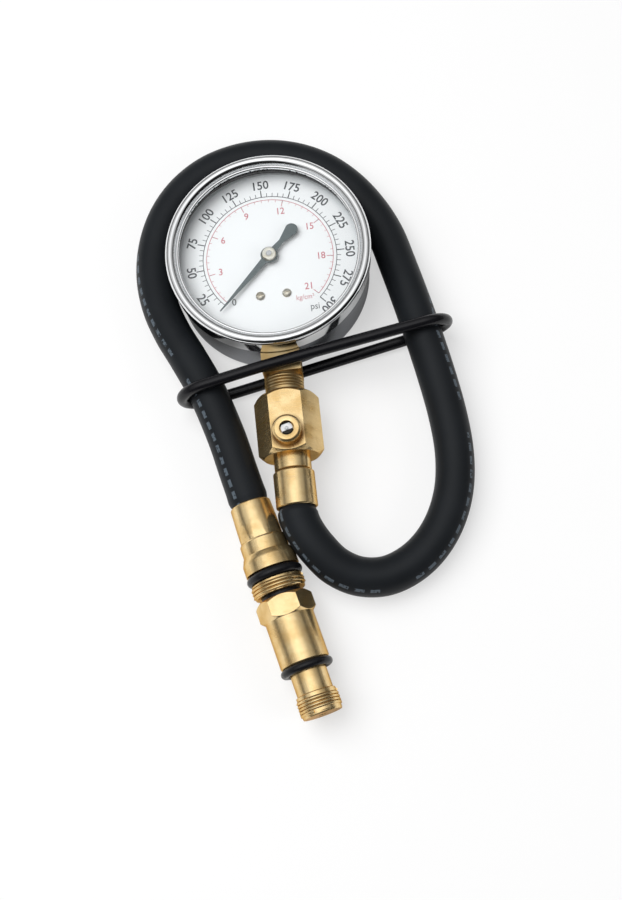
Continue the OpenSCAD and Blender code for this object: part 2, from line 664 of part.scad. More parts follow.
module valve_body() color(brass) difference() {
    union() {
        on_stem(hex_start) chamfered_hex(hex_af, hex_l);
        on_stem(hex_end - 1) rotate_extrude() polygon([[0, 0], [neck_r, 0], [neck_r, neck_l + 0.4],
            [neck_r - 0.6, neck_l + 1], [0, neck_l + 1]]);
    }
    on_stem(hex_start - 1) cylinder(r = tap_r + seat_fit, h = stem_engage + 1.5);
    on_stem(hex_start) cylinder(r = stem_bore_r, h = hex_l);
    on_stem(hex_end) cylinder(r = nipple_r + seat_fit, h = neck_l + 1);
    translate([0, -port_y, flat_z - port_depth]) cylinder(r = port_stem_r + seat_fit, h = port_depth + 1);
    translate([0, -port_y, stem_z]) cylinder(r = 1, h = flat_z - stem_z);
}
port_stem_r = 3.3;
port_depth = 6.6;
port_top = flat_z + port_h;
module bleed_port() color(brass) translate([0, -port_y, 0]) difference() {
    union() {
        translate([0, 0, flat_z]) rotate_extrude() polygon([[0, 0], [port_r, 0], [port_r, port_h - 0.7],
            [port_r - 0.7, port_h], [0, port_h]]);
        translate([0, 0, flat_z - port_depth + seat_fit]) cylinder(r = port_stem_r, h = port_depth);
    }
    translate([0, 0, port_top - core_l - 2.9]) cylinder(r = port_bore_r, h = core_l + 4);
    translate([0, 0, stem_z]) cylinder(r = 1, h = flat_z - stem_z);
}

// A sprung valve core that stands on z = 0 and is pushed from its top
core_l = 6.6;
core_wall_r = port_bore_r - seat_fit;
spring_low = 1.2;
spring_high = 4.4;
spring_r = 0.95;
cavity_r = 1.4;
module core_body() color(chrome) difference() {
    union() {
        cylinder(r = core_wall_r, h = core_l - 1.4);
        cylinder(r = core_wall_r - 0.4, h = core_l);
    }
    translate([0, 0, -1]) cylinder(r = valve_pin_r + run_fit, h = core_l + 2);
    translate([0, 0, spring_low - lie_fit]) cylinder(r = cavity_r, h = spring_high - spring_low + 1);
}
module core_pin(travel) color(steel) {
    translate([0, 0, -travel - 0.3]) cylinder(r = valve_pin_r, h = core_l + travel + 0.7);
    translate([0, 0, spring_high + 0.1]) cylinder(r = cavity_r - 0.1, h = 0.45);
    translate([0, 0, -0.9]) cylinder(r = 1.4, h = 0.7);
}
// A coil of n rings per turn, swept with six sides
function spring_ring(i, n, turns, low, high) = let (
    a = i*360/n, f = i/(n*turns), z = low + spring_wire_r + (high - low - 2*spring_wire_r)*f)
    [for (k = [0:5]) let (b = k*60)
        [(spring_r + spring_wire_r*cos(b))*cos(a), (spring_r + spring_wire_r*cos(b))*sin(a),
            z + spring_wire_r*sin(b)]];
module coil_spring(low, high) {
    n = 8;
    last = n*spring_turns;
    tube_of([for (i = [0:last]) spring_ring(i, n, spring_turns, low, high)]);
}
module bleed_core() translate([0, -port_y, port_top - 0.4 - core_l]) core_body();
module bleed_pin() translate([0, -port_y, port_top - 0.4 - core_l]) core_pin(bleed_travel);
module bleed_spring() color(steel) translate([0, -port_y, port_top - 0.4 - core_l])
    coil_spring(spring_low, spring_high);

// Gauge end of the hose

module barbed_nipple(length, bore) bored(bore, length) rotate_extrude() union() {
    square([nipple_r - 0.15, length]);
    for (z = [1.5:2.4:length - 3]) polygon([[0, z], [nipple_r, z], [nipple_r - 0.15, z + 1.6], [0, z + 1.6]]);
}
module gauge_nipple() color(brass) on_stem(hex_end + 0.4) {
    ring(nipple_r, stem_bore_r, neck_l - 0.4);
    translate([0, 0, neck_l - 0.5]) barbed_nipple(ferrule_l, stem_bore_r);
}
module gauge_ferrule() color(brass) on_stem(neck_end) rotate_extrude() polygon([
    [grip_r + lie_fit, 0], [ferrule_r - 0.5, 0], [ferrule_r, 0.5], [ferrule_r, ferrule_l - 0.4],
    [ferrule_r - 0.4, ferrule_l], [grip_r + lie_fit, ferrule_l]]);

// Hose: rings of points swept along a smooth curve through the route

// A closed tube through a list of rings of equal length
module tube_of(rings) {
    n = len(rings[0]);
    m = len(rings);
    polyhedron(points = [for (r = rings) each r], convexity = 8, faces = concat(
        [for (i = [0:m - 2], k = [0:n - 1]) each [
            [i*n + k, (i + 1)*n + k, (i + 1)*n + (k + 1)%n],
            [i*n + k, (i + 1)*n + (k + 1)%n, i*n + (k + 1)%n]]],
        [[for (k = [0:n - 1]) k]], [[for (k = [n - 1:-1:0]) (m - 1)*n + k]]));
}
// A tube with a bore: outer and inner rings joined at both ends
module hollow_tube(outer, inner) {
    n = len(outer[0]);
    m = len(outer);
    o = m*n;
    polyhedron(points = concat([for (r = outer) each r], [for (r = inner) each r]), convexity = 10,
        faces = concat(
            [for (i = [0:m - 2], k = [0:n - 1]) each [
                [i*n + k, (i + 1)*n + k, (i + 1)*n + (k + 1)%n],
                [i*n + k, (i + 1)*n + (k + 1)%n, i*n + (k + 1)%n]]],
            [for (i = [0:m - 2], k = [0:n - 1]) each [
                [o + i*n + k, o + (i + 1)*n + (k + 1)%n, o + (i + 1)*n + k],
                [o + i*n + k, o + i*n + (k + 1)%n, o + (i + 1)*n + (k + 1)%n]]],
            [for (k = [0:n - 1]) each [
                [k, (k + 1)%n, o + (k + 1)%n], [k, o + (k + 1)%n, o + k]]],
            [for (k = [0:n - 1]) each [
                [o - n + k, 2*o - n + (k + 1)%n, o - n + (k + 1)%n],
                [o - n + k, 2*o - n + k, 2*o - n + (k + 1)%n]]]));
}
function clamp_index(i) = max(0, min(len(hose_points) - 1, i));
function hp(i) = hose_points[clamp_index(i)];
// Catmull-Rom curve between points i and i + 1
function on_route(i, t) = 0.5*(2*hp(i) + (hp(i + 1) - hp(i - 1))*t
    + (2*hp(i - 1) - 5*hp(i) + 4*hp(i + 1) - hp(i + 2))*t*t
    + (3*hp(i) - hp(i - 1) - 3*hp(i + 1) + hp(i + 2))*t*t*t);
last_point = len(hose_points) - 1;
function unit(v) = v/norm(v);
hose_stations = concat([for (i = [0:last_point - 1], t = [0, 0.5]) [on_route(i, t), i + t]],
    [[hp(last_point), last_point]]);
station_count = len(hose_stations);
function station(j) = hose_stations[max(0, min(station_count - 1, j))][0];
function held(j) = hose_stations[j][1] <= gauge_grip || hose_stations[j][1] >= last_point - far_grip + 1;
function station_ring(j, r) = let (
    t = j == 0 ? [0, -1, 0] : j == station_count - 1 ? [sin(far_turn), -cos(far_turn), 0]
        : unit(station(j + 1) - station(j - 1)),
    side = unit(cross(t, [0, 0, 1])), up = cross(side, t))
    [for (k = [0:hose_sides - 1]) let (a = k*360/hose_sides)
        station(j) + r*(cos(a)*side + sin(a)*up)];
hose_length = let (d = [for (j = [1:station_count - 1]) norm(station(j) - station(j - 1))])
    d*[for (j = d) 1];
module hose() color(rubber) {
    echo(hose_length = hose_length);
    hollow_tube(
        [for (j = [0:station_count - 1]) station_ring(j, held(j) ? grip_r : hose_r)],
        [for (j = [0:station_count - 1]) station_ring(j, hose_bore_r)]);
}

// Far ferrule and hose end with its large thread

module far_ferrule() color(brass) fitting() difference() {
    union() {
        intersection() {
            rotate_extrude() polygon([[0, 0], [crimp_r - 0.7, 0], [crimp_r - 0.35, 0.4],
                [crimp_r + 0.15, crimp_l], [0, crimp_l]]);
            rotate(22.5) cylinder(r = (crimp_r - 0.12)/cos(22.5), h = crimp_l, $fn = 8);
        }
        translate([0, 0, crimp_l - 0.1]) rotate_extrude() polygon([[0, 0], [far_ferrule_r - 0.35, 0],
            [far_ferrule_r, 0.5], [far_ferrule_r, far_ferrule_l - crimp_l + 0.1],
            [0, far_ferrule_l - crimp_l + 0.1]]);
    }
    translate([0, 0, -1]) cylinder(r = grip_r + lie_fit, h = far_ferrule_l + 2);
}
module hose_end() color(brass) fitting() difference() {
    union() {
        translate([0, 0, far_ferrule_l]) rotate_extrude() polygon([[0, 0], [far_ferrule_r + 0.3, 0],
            [flare_r, 2.2], [flare_r, flare_l], [groove_r, flare_l], [groove_r, flare_l + groove_l],
            [large_thread_r - 0.6, flare_l + groove_l], [large_thread_r, flare_l + groove_l + 0.6],
            [large_thread_r, hose_end_l - far_ferrule_l - 0.8],
            [large_thread_r - 0.8, hose_end_l - far_ferrule_l], [0, hose_end_l - far_ferrule_l]]);
        translate([0, 0, far_ferrule_l + 0.2]) mirror([0, 0, 1])
            barbed_nipple(far_ferrule_l - 1, nipple_bore_r);
    }
    translate([0, 0, 0]) cylinder(r = nipple_bore_r, h = hose_end_l + 1);
    translate([0, 0, hose_end_l - stub_l + flat_seal_t - 0.4])
        cylinder(r = stub_r + run_fit, h = stub_l + 2);
}
module o_ring(inner, section) rotate_extrude() translate([inner + section, 0]) circle(section);
module large_seal_ring() color(rubber) fitting() translate([0, 0, flare_end + groove_l/2])
    o_ring(groove_r + seat_fit, large_seal_r);

// Adapter: it screws out of the hose end, and carries the small thread

module flat_seal() color(rubber) fitting() translate([0, 0, hose_end_l + seat_fit])
    ring(stub_r + 2, stub_r + seat_fit, flat_seal_t);
check_core_at = adapter_start - stub_l + 2.1;
module adapter_body() color(brass) fitting() difference() {
    union() {
        translate([0, 0, adapter_start - stub_l]) cylinder(r = stub_r, h = stub_l + 1);
        translate([0, 0, adapter_start]) chamfered_hex(adapter_af, adapter_hex_l);
        translate([0, 0, barrel_start - 0.8]) rotate_extrude() polygon([[0, 0], [barrel_r, 0],
            [barrel_r, barrel_l + 0.4], [barrel_r - 0.4, barrel_l + 0.8], [0, barrel_l + 0.8]]);
        translate([0, 0, barrel_end - 1]) cylinder(r = tip_neck_r, h = tip_neck_l + 1.5);
        translate([0, 0, tip_thread_start]) rotate_extrude() polygon([[0, 0], [tip_neck_r, 0],
            [tip_thread_r, 0.6], [tip_thread_r, tip_thread_l - 0.8],
            [tip_thread_r - 0.8, tip_thread_l], [0, tip_thread_l]]);
    }
    translate([0, 0, adapter_start - stub_l - 1])
        cylinder(r = port_bore_r, h = check_core_at + core_l + 1.5 - adapter_start + stub_l);
    translate([0, 0, adapter_start]) cylinder(r = tip_hole_r, h = tip_end);
}
module small_seal_ring() color(rubber) fitting() translate([0, 0, barrel_end + small_seal_r + seat_fit])
    o_ring(tip_neck_r + seat_fit, small_seal_r);
module check_place() fitting() translate([0, 0, check_core_at]) children();
module check_core() check_place() core_body();
module check_pin() check_place() core_pin(check_travel);
module check_spring() color(steel) check_place()
    coil_spring(spring_low, spring_high - check_travel - lie_fit);

// Retaining band: one rubber ring stretched over both hose legs and the stem.
// Its loop crosses the stem at band_y, and its lower strand lies nearer to the gauge.

band_turn = 9.3;
band_y = -(bezel_r + band_r + band_gap)/cos(band_turn);
left_leg = -25.84;
right_leg = 47.9;
// The hose's flat-sided rings stand this share outside its round radius at most
hose_swell = 1.05;
wrap_r = hose_r*hose_swell + lie_fit + band_r;
leg_z = wrap_r + band_r;
ride_z = stem_z + block_w/2 + lie_fit + band_r;
// Angle round a leg at which the strand leaves it for a point on the stem
function leave_a(leg, corner) = let (v = corner - [leg, leg_z])
    atan2(v.y, v.x) + (v.x > 0 ? 1 : -1)*acos(wrap_r/norm(v));
left_corner = [-block_w/2, ride_z];
right_corner = [block_w/2, ride_z];
left_a = leave_a(left_leg, left_corner);
right_a = leave_a(right_leg, right_corner);
function wrap_point(leg, a) = [[leg + wrap_r*cos(a), leg_z + wrap_r*sin(a)], a];
wrap_steps = 8;
// Each entry is a place in the plane and the angle of its outward side
band_path = concat(
    [for (k = [0:wrap_steps]) wrap_point(left_leg, 270 - (270 - left_a)*k/wrap_steps)],
    [[left_corner, (left_a + 90)/2], [right_corner, (right_a + 90)/2]],
    [for (k = [0:wrap_steps]) wrap_point(right_leg, right_a - (right_a + 90)*k/wrap_steps)]);
// The lower strand lies nearer to the gauge than the upper one, and more so on the right
low_twist = 0.0267;
function low_share(z) = (ride_z - z)/(ride_z - band_r);
function band_world(p) = [p.x*cos(band_turn),
    band_y + p.x*sin(band_turn) + (low_shift + low_twist*p.x)*low_share(p.y), p.y];
function band_section(entry) = [for (k = [0:9]) let (b = k*36, out = band_r*cos(b), along = band_r*sin(b))
    band_world(entry[0] + out*[cos(entry[1]), sin(entry[1])])
        + along*[-sin(band_turn), cos(band_turn), 0]];
module retaining_band() color(rubber) {
    rings = [for (entry = band_path) band_section(entry)];
    n = 10;
    m = len(rings);
    polyhedron(points = [for (r = rings) each r], convexity = 8, faces =
        [for (i = [0:m - 1], k = [0:n - 1]) let (j = (i + 1)%m) each [
            [i*n + k, j*n + (k + 1)%n, j*n + k],
            [i*n + k, i*n + (k + 1)%n, j*n + (k + 1)%n]]]);
}

gauge_case();
bezel_ring();
window_lens();
window_gasket();
dial_plate();
dial_screws();
dial_posts();
pointer();
pointer_boss();
pinion_arbor();
hairspring();
sector_gear();
sector_arbor();
link_bar();
bourdon_tube();
tube_tip();
movement_back_plate();
movement_front_plate();
movement_pillars();
movement_screws();
case_screws();
stem_socket();
valve_body();
bleed_port();
bleed_core();
bleed_pin();
bleed_spring();
gauge_nipple();
gauge_ferrule();
hose();
far_ferrule();
hose_end();
large_seal_ring();
flat_seal();
adapter_body();
small_seal_ring();
check_core();
check_pin();
check_spring();
retaining_band();
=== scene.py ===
# %% [markdown]
# # Compression tester
# A round pressure gauge lies on its back on a white table. Its brass valve body, a rubber hose, a
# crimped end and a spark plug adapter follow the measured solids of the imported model, which is loaded
# first and never moved. Everything drawn here goes on or in place of those solids, in the same frame, in
# metres.

# %% Load the frame
import math

import bmesh
import bpy
from mathutils import Matrix, Vector


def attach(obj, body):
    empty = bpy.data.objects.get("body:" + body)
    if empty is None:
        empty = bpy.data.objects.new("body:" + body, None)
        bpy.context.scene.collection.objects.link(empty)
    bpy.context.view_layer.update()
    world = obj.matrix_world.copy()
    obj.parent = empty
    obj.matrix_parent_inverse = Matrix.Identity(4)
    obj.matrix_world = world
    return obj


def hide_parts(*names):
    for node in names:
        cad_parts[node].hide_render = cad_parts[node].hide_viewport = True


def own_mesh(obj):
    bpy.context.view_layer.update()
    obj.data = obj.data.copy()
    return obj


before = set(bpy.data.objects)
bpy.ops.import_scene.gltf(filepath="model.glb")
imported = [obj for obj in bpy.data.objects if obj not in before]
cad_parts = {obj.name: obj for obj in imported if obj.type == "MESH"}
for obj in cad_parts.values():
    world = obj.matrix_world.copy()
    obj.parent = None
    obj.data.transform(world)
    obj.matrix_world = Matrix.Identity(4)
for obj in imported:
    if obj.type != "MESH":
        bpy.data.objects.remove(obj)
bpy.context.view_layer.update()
MM = 0.001

# %% [markdown]
# ## Camera
# The gauge's rim is a circle, so its ellipse in the picture gives the tilt and the distance of the
# camera. The camera stands high over the stem's side, a little to the right, and is rolled, so that the
# stem leans. A camera can be aimed with a constraint; here its three axes are worked out and written as
# a matrix, because the roll is then exact and nothing is left live in the scene.

# %% The camera
def camera_axes(elevation, azimuth, roll):
    """Right, up and back of a camera that looks down at the table."""
    el, az, ro = map(math.radians, (elevation, azimuth, roll))
    back = Vector((math.sin(az)*math.cos(el), -math.cos(az)*math.cos(el), math.sin(el)))
    level = Vector((math.cos(az), math.sin(az), 0))
    over = back.cross(level)
    right = math.cos(ro)*level + math.sin(ro)*over
    up = -math.sin(ro)*level + math.cos(ro)*over
    return right, up, back


def placed(name, data):
    """An object with this data, in the scene."""
    thing = bpy.data.objects.new(name, data)
    bpy.context.collection.objects.link(thing)
    return thing


right, up, back = camera_axes(elevation=72.960, azimuth=7.448, roll=-14.070)
aim = Vector((5.853, -62.477, 0))*MM
distance = 415.53*MM
camera = placed("camera", bpy.data.cameras.new("camera"))
camera.data.lens = 49.818
camera.data.sensor_width = 36
camera.data.clip_start = 0.01
camera.matrix_world = Matrix((right, up, back)).transposed().to_4x4()
camera.matrix_world.translation = aim + distance*back
bpy.context.scene.camera = camera
bpy.context.scene.view_settings.view_transform = "Standard"
print("camera at", [round(v, 3) for v in camera.matrix_world.translation])

# %% [markdown]
# ## Axes
# Nearly every rigid piece here is turned on a lathe or cut from hexagon bar, so each has one line that
# it is round. A small class holds that line and turns (distance along, radius, angle) into a point.

# %% The lines that pieces are turned round
class Axis:
    """A line in the frame, and where its angle zero points. Millimetres go in, metres come out."""

    def __init__(self, origin, direction, side):
        self.origin = Vector(origin)
        self.direction = Vector(direction).normalized()
        self.side = Vector(side).normalized()
        self.up = self.direction.cross(self.side)

    def point(self, along, radius, angle):
        out = math.cos(angle)*self.side + math.sin(angle)*self.up
        return (self.origin + along*self.direction + radius*out)*MM

    def place(self, point):
        """(along, radius, angle) of a point in metres."""
        away = Vector(point)/MM - self.origin
        x, y = away.dot(self.side), away.dot(self.up)
        return away.dot(self.direction), math.hypot(x, y), math.atan2(y, x)

    def matrix(self, along=0):
        """Places a piece made round its own Z."""
        turn = Matrix((self.side, self.up, self.direction)).transposed().to_4x4()
        turn.translation = (self.origin + along*self.direction)*MM
        return turn


far_lean = math.radians(13.4)
far_way = (math.sin(far_lean), -math.cos(far_lean), 0)
far_mouth = (-15.3, -81.2, 9.3)
dial_axis = Axis((0, 0, 0), (0, 0, 1), (1, 0, 0))
stem_axis = Axis((0, 0, 12.5), (0, -1, 0), (1, 0, 0))
far_axis = Axis(far_mouth, far_way, (math.cos(far_lean), math.sin(far_lean), 0))
port_axis = Axis((0, -62, 0), (0, 0, 1), (1, 0, 0))
print("the far fitting points to", [round(v, 4) for v in far_way])

# %% [markdown]
# ## The hose
# The hose is the one long flexible piece, so it comes right after the camera. On the real tester it is a
# fixed length of rubber that leaves the valve body, dips to the table, turns back past the gauge, goes
# round it and comes down to the far end's ferrule. A curve object with a round bevel would draw it, but
# the hose is also squeezed under both ferrules and hollow, so its rings are laid out one by one along a
# smooth curve through the same points as the solid's route.

# %% The route of the hose
def far_point(along):
    return tuple(far_mouth[i] + along*far_way[i] for i in range(3))


hose_points = [
    (0, -73.05, 12.5), (0, -79, 12.5), (0, -85.1, 12.5), (0.2, -88.4, 12.5), (1.9, -93.2, 12),
    (5.2, -98.8, 10.9), (10, -104.4, 9.2), (17, -108.2, 7.6), (25.5, -108.9, 6.7), (34, -105.9, 6.4),
    (41.3, -100.2, 6.4), (47, -92.2, 6.4), (50.8, -82.4, 6.4), (52.4, -71, 6.6), (51.9, -58.5, 7.7),
    (50, -45, 9.5), (47.4, -30.2, 10.6), (44.9, -16.5, 10), (42.4, -3.5, 8.5), (39.8, 8.6, 7.1),
    (35.8, 18.6, 6.5), (29.8, 28.2, 6.4), (22, 36.2, 6.4), (12.5, 41.8, 6.4), (2, 44.6, 6.4),
    (-9, 44.4, 6.4), (-19.5, 41.2, 6.4), (-28.6, 34.8, 6.4), (-35.4, 26, 6.4), (-39.6, 15.2, 6.4),
    (-41, 4, 6.6), (-39.6, -7.5, 7.8), (-36, -18.4, 9.3), (-31.2, -28.8, 10.4), (-25.9, -41.2, 10.6),
    (-21, -57, 10.1), far_point(-12), far_point(1), far_point(9), far_point(17.05)]


def smooth_line(points, steps):
    """A line that bends smoothly through the points, in metres, with this many steps between two."""
    line = []
    last = len(points) - 1
    for i in range(last):
        a, b, c, d = (Vector(points[max(0, min(last, i + k))]) for k in (-1, 0, 1, 2))
        for step in range(steps):
            t = step/steps
            line.append(0.5*MM*(2*b + (c - a)*t + (2*a - 5*b + 4*c - d)*t*t + (3*b - a - 3*c + d)*t**3))
    line.append(Vector(points[last])*MM)
    return line


hose_line = smooth_line(hose_points, 10)
hose_run = [0.0]
for before, after in zip(hose_line, hose_line[1:]):
    hose_run.append(hose_run[-1] + (after - before).length)
hose_length = hose_run[-1]
print("hose length", round(hose_length, 4), "m")

# %% [markdown]
# ### How thick the hose is
# A ferrule is crimped over the rubber, so the hose is thinner where it is held, and swells a little
# where it comes out. One formula of the distance along it gives both, the same at either end.

# %% Radius along the hose
HOSE_R = 6.35
GRIP_R = 5.75
HOSE_BORE = 2.45
GAUGE_HOLD = 12.0
FAR_HOLD = 17.1
RISE_LENGTH = 1.8
SWELL = 0.12
SWELL_AT = 2.6
SWELL_LENGTH = 1.6


def ease(x):
    x = max(0.0, min(1.0, x))
    return x*x*(3 - 2*x)


def hose_radius(run):
    """Outer radius in mm at a distance along the hose in metres."""
    out, bulge = 1.0, 0.0
    for free in (run/MM - GAUGE_HOLD, (hose_length - run)/MM - FAR_HOLD):
        out = min(out, ease(free/RISE_LENGTH))
        bulge += SWELL*math.exp(-(((free - SWELL_AT)/SWELL_LENGTH)**2))
    return GRIP_R + (HOSE_R - GRIP_R)*out + bulge


print("hose radius, held and free:", hose_radius(0), round(hose_radius(hose_length/2), 3), "mm")

# %% [markdown]
# ### The hose's lay line
# A line along the hose shows how the hose is twisted. It turns slowly, as it does on any hose that is
# coiled by hand, and a short table of angles says how. The hose's UV map holds metres: how far round
# from this line, and how far along. That carries the line better than a projection, which would stretch
# it in the bends.

# %% Where the lay line runs
def between(x, table):
    """Linear between the pairs of a table."""
    for (x0, y0), (x1, y1) in zip(table, table[1:]):
        if x <= x1:
            return y0 + (y1 - y0)*max(0.0, (x - x0)/(x1 - x0))
    return table[-1][1]


lay_angle = [(0, 36), (0.03, 36), (0.06, 34), (0.09, 36), (0.12, 42), (0.142, 48), (0.156, 20),
    (0.175, -40), (0.25, -60), (0.28, -20), (0.3, 34), (0.32, 46), (0.36, 52), (0.42, 58)]
girth = 2*math.pi*HOSE_R*MM


def round_from_line(part, run):
    """Metres round the skin from the lay line, at a part of a turn, from -half to half the girth."""
    turns = part - between(run, lay_angle)/360
    return (turns - math.floor(turns + 0.5))*girth


angles = sorted(angle for run, angle in lay_angle)
print("the lay line lies between", angles[0], "and", angles[-1], "degrees")

# %% [markdown]
# ### The hose's rings
# Each ring of points stands square to the route, and faces join it to the next one. The outside and the
# bore are made alike and are bridged at both ends. A modifier could thicken one skin, but the bore is
# the same all along, while the outside is squeezed. The first two helpers serve other pieces as well.

# %% Rings and the faces between them
def ring_of(form, middle, radius, side, over, count):
    """A ring of new points: the middle is in metres, the radius in millimetres."""
    angles = [2*math.pi*k/count for k in range(count)]
    return [form.verts.new(middle + radius*MM*(math.cos(a)*side + math.sin(a)*over)) for a in angles]


def join_rings(form, before, after):
    """The faces from each pair of neighbours on a ring to the same pair on the next."""
    pairs = [(k, (k + 1) % len(before)) for k in range(len(before))]
    return [form.faces.new((before[k], before[m], after[m], after[k])) for k, m in pairs]


def hose_rings(form, count, radius_at):
    """Rings along the whole route. The side of each is level, and its up leans with the route."""
    rings = []
    for i, (middle, run) in enumerate(zip(hose_line, hose_run)):
        way = (hose_line[min(i + 1, len(hose_line) - 1)] - hose_line[max(i - 1, 0)]).normalized()
        side = way.cross(Vector((0, 0, 1))).normalized()
        rings.append(ring_of(form, middle, radius_at(run), side, side.cross(way), count))
    return rings


# %% The skin of the hose
HOSE_SIDES = 40
BORE_SIDES = 12


def map_face(face, uv, k, count, i):
    """UV of the face at place k of a ring, between the rings i and i + 1."""
    start = round_from_line(k/count, hose_run[i])
    shift = round_from_line(k/count, hose_run[i + 1]) - start
    shift -= round(shift/girth)*girth
    width = girth/count
    corners = ((start, hose_run[i]), (start + width, hose_run[i]),
        (start + width + shift, hose_run[i + 1]), (start + shift, hose_run[i + 1]))
    for loop, place in zip(face.loops, corners):
        loop[uv].uv = place
    face.smooth = True


def hose_mesh():
    """The hose, outside and bore, closed at both ends."""
    form = bmesh.new()
    uv = form.loops.layers.uv.new("lay")
    outside = hose_rings(form, HOSE_SIDES, hose_radius)
    bore = hose_rings(form, BORE_SIDES, lambda run: HOSE_BORE)
    for rings in (outside, bore):
        for i, (before, after) in enumerate(zip(rings, rings[1:])):
            for k, face in enumerate(join_rings(form, before, after)):
                map_face(face, uv, k, len(before), i)
    for end in (0, -1):
        rims = [form.edges.get((ring[k - 1], ring[k])) for ring in (outside[end], bore[end])
            for k in range(len(ring))]
        bmesh.ops.bridge_loops(form, edges=rims)
    bmesh.ops.recalc_face_normals(form, faces=form.faces)
    mesh = bpy.data.meshes.new("hose_skin")
    form.to_mesh(mesh)
    form.free()
    return mesh


hose_skin = placed("hose_skin", hose_mesh())
print("hose faces", len(hose_skin.data.polygons))

# %% [markdown]
# ## A small language for nodes
# Every finish below is a network of shader nodes, and so are the threads and the marks of the dial.
# Written socket by socket such a network is long and hard to read. So one function makes any node from
# its type, its settings and what goes into its sockets, and a small class wraps a socket of a finish, so
# that sums on it add Math nodes by themselves.

# %% One function for any node
def wired(tree, kind, settings=None, sockets=None, out=0):
    """A node in any tree: settings first, then values or links for its inputs. Gives one output socket."""
    made = tree.nodes.new(kind)
    for name, value in (settings or {}).items():
        setattr(made, name, value)
    for name, value in (sockets or {}).items():
        if isinstance(value, bpy.types.NodeSocket):
            tree.links.new(value, made.inputs[name])
        else:
            made.inputs[name].default_value = value
    return made.outputs[out]


def math_node(tree, operation, *values):
    """A Math node in any tree, with its values in order."""
    return wired(tree, "ShaderNodeMath", {"operation": operation}, dict(enumerate(values)))


# %% Sockets that take part in sums
class Wire:
    """An output socket of a finish. Sums with it add Math nodes."""

    def __init__(self, finish, socket):
        self.finish = finish
        self.socket = socket

    def __add__(self, other):
        return self.finish.math("ADD", self, other)

    def __radd__(self, other):
        return self.finish.math("ADD", other, self)

    def __sub__(self, other):
        return self.finish.math("SUBTRACT", self, other)

    def __mul__(self, other):
        return self.finish.math("MULTIPLY", self, other)

    def __gt__(self, other):
        return self.finish.math("GREATER_THAN", self, other)

    def __lt__(self, other):
        return self.finish.math("LESS_THAN", self, other)

    def part(self, length):
        """How far along the present repeat of a pattern this is, from 0 to 1."""
        return self.finish.math("FRACT", self*(1/length))


# %% [markdown]
# A finish is a material with the few nodes that nearly all of them need: where a point is on its piece,
# a noise, a mix of two colours and a bump. All places are Object coordinates in metres, so a pattern
# keeps its real size on every piece.

# %% A finish and its nodes
class Finish:
    """A material and the nodes that make it."""

    def __init__(self, name):
        self.material = bpy.data.materials.new(name)
        self.material.use_nodes = True
        self.tree = self.material.node_tree
        self.tree.nodes.clear()

    def node(self, kind, settings=None, sockets=None, out=0):
        """Any node of this finish, from values or wires for its inputs."""
        plain = {name: getattr(value, "socket", value) for name, value in (sockets or {}).items()}
        return Wire(self, wired(self.tree, kind, settings, plain, out))

    def math(self, operation, *values):
        """A sum on numbers."""
        return self.node("ShaderNodeMath", {"operation": operation}, dict(enumerate(values)))

    def coords(self):
        return self.node("ShaderNodeTexCoord", out="Object")

    def noise(self, place, scale, detail=2):
        return self.node("ShaderNodeTexNoise", {}, {"Vector": place, "Scale": scale, "Detail": detail},
            out="Fac")

    def noise_along(self, along, scale, detail):
        """Noise that changes along one line only."""
        return self.node("ShaderNodeTexNoise", {"noise_dimensions": "1D"},
            {"W": along, "Scale": scale, "Detail": detail}, out="Fac")

    def vector(self, operation, a, b=None, out=0):
        """A sum on vectors."""
        given = {0: a} if b is None else {0: a, 1: tuple(b)}
        return self.node("ShaderNodeVectorMath", {"operation": operation}, given, out)

    def ramp(self, value, start, end, low=0.0, high=1.0):
        """Goes smoothly from low to high while the value goes from start to end."""
        return self.node("ShaderNodeMapRange", {"interpolation_type": "SMOOTHSTEP"},
            {"Value": value, "From Min": start, "From Max": end, "To Min": low, "To Max": high})

    def mix(self, factor, a, b):
        """A colour between a and b."""
        a, b = (value if isinstance(value, Wire) else (*value, 1) for value in (a, b))
        return self.node("ShaderNodeMix", {"data_type": "RGBA"}, {0: factor, 6: a, 7: b}, out=2)

    def bump(self, height, depth):
        return self.node("ShaderNodeBump", {}, {"Height": height, "Distance": depth, "Strength": 1.0})

    def surface(self, shader):
        out = self.tree.nodes.new("ShaderNodeOutputMaterial")
        self.tree.links.new(shader.socket, out.inputs["Surface"])
        return self.material

    def principled(self, **sockets):
        """A surface from the Principled shader, with an underscore for each space in a socket's name."""
        named = {name.replace("_", " "): value for name, value in sockets.items()}
        for name, value in named.items():
            if isinstance(value, tuple) and len(value) == 3:
                named[name] = (*value, 1)
        return self.surface(self.node("ShaderNodeBsdfPrincipled", {}, named))


# %% [markdown]
# ### Brass
# The fittings are turned free-cutting brass: yellow, bright and a little brushed by the tool. The marks
# run round the piece, so they depend only on the distance along its axis, with a fine grain over them.
# Handling leaves faint warm stains. A flat gold colour would look like plastic, so colour, roughness and
# bump all vary a little.

# %% Distances from an axis
def along_axis(finish, place, axis):
    """Distance along an axis, in metres."""
    moved = finish.vector("SUBTRACT", place, axis.origin*MM)
    return finish.vector("DOT_PRODUCT", moved, axis.direction, out="Value")


def out_from_axis(finish, place, axis):
    """Distance out from an axis that stands upright, in metres."""
    moved = finish.vector("SUBTRACT", place, axis.origin*MM)
    flat = finish.vector("MULTIPLY", moved, (1, 1, 0))
    return finish.vector("LENGTH", flat, out="Value")


# %% Brass, turned round an axis
# Colour of the painted shade round a port's foot.
PORT_FOOT_SHADE = (0.10, 0.055, 0.025)


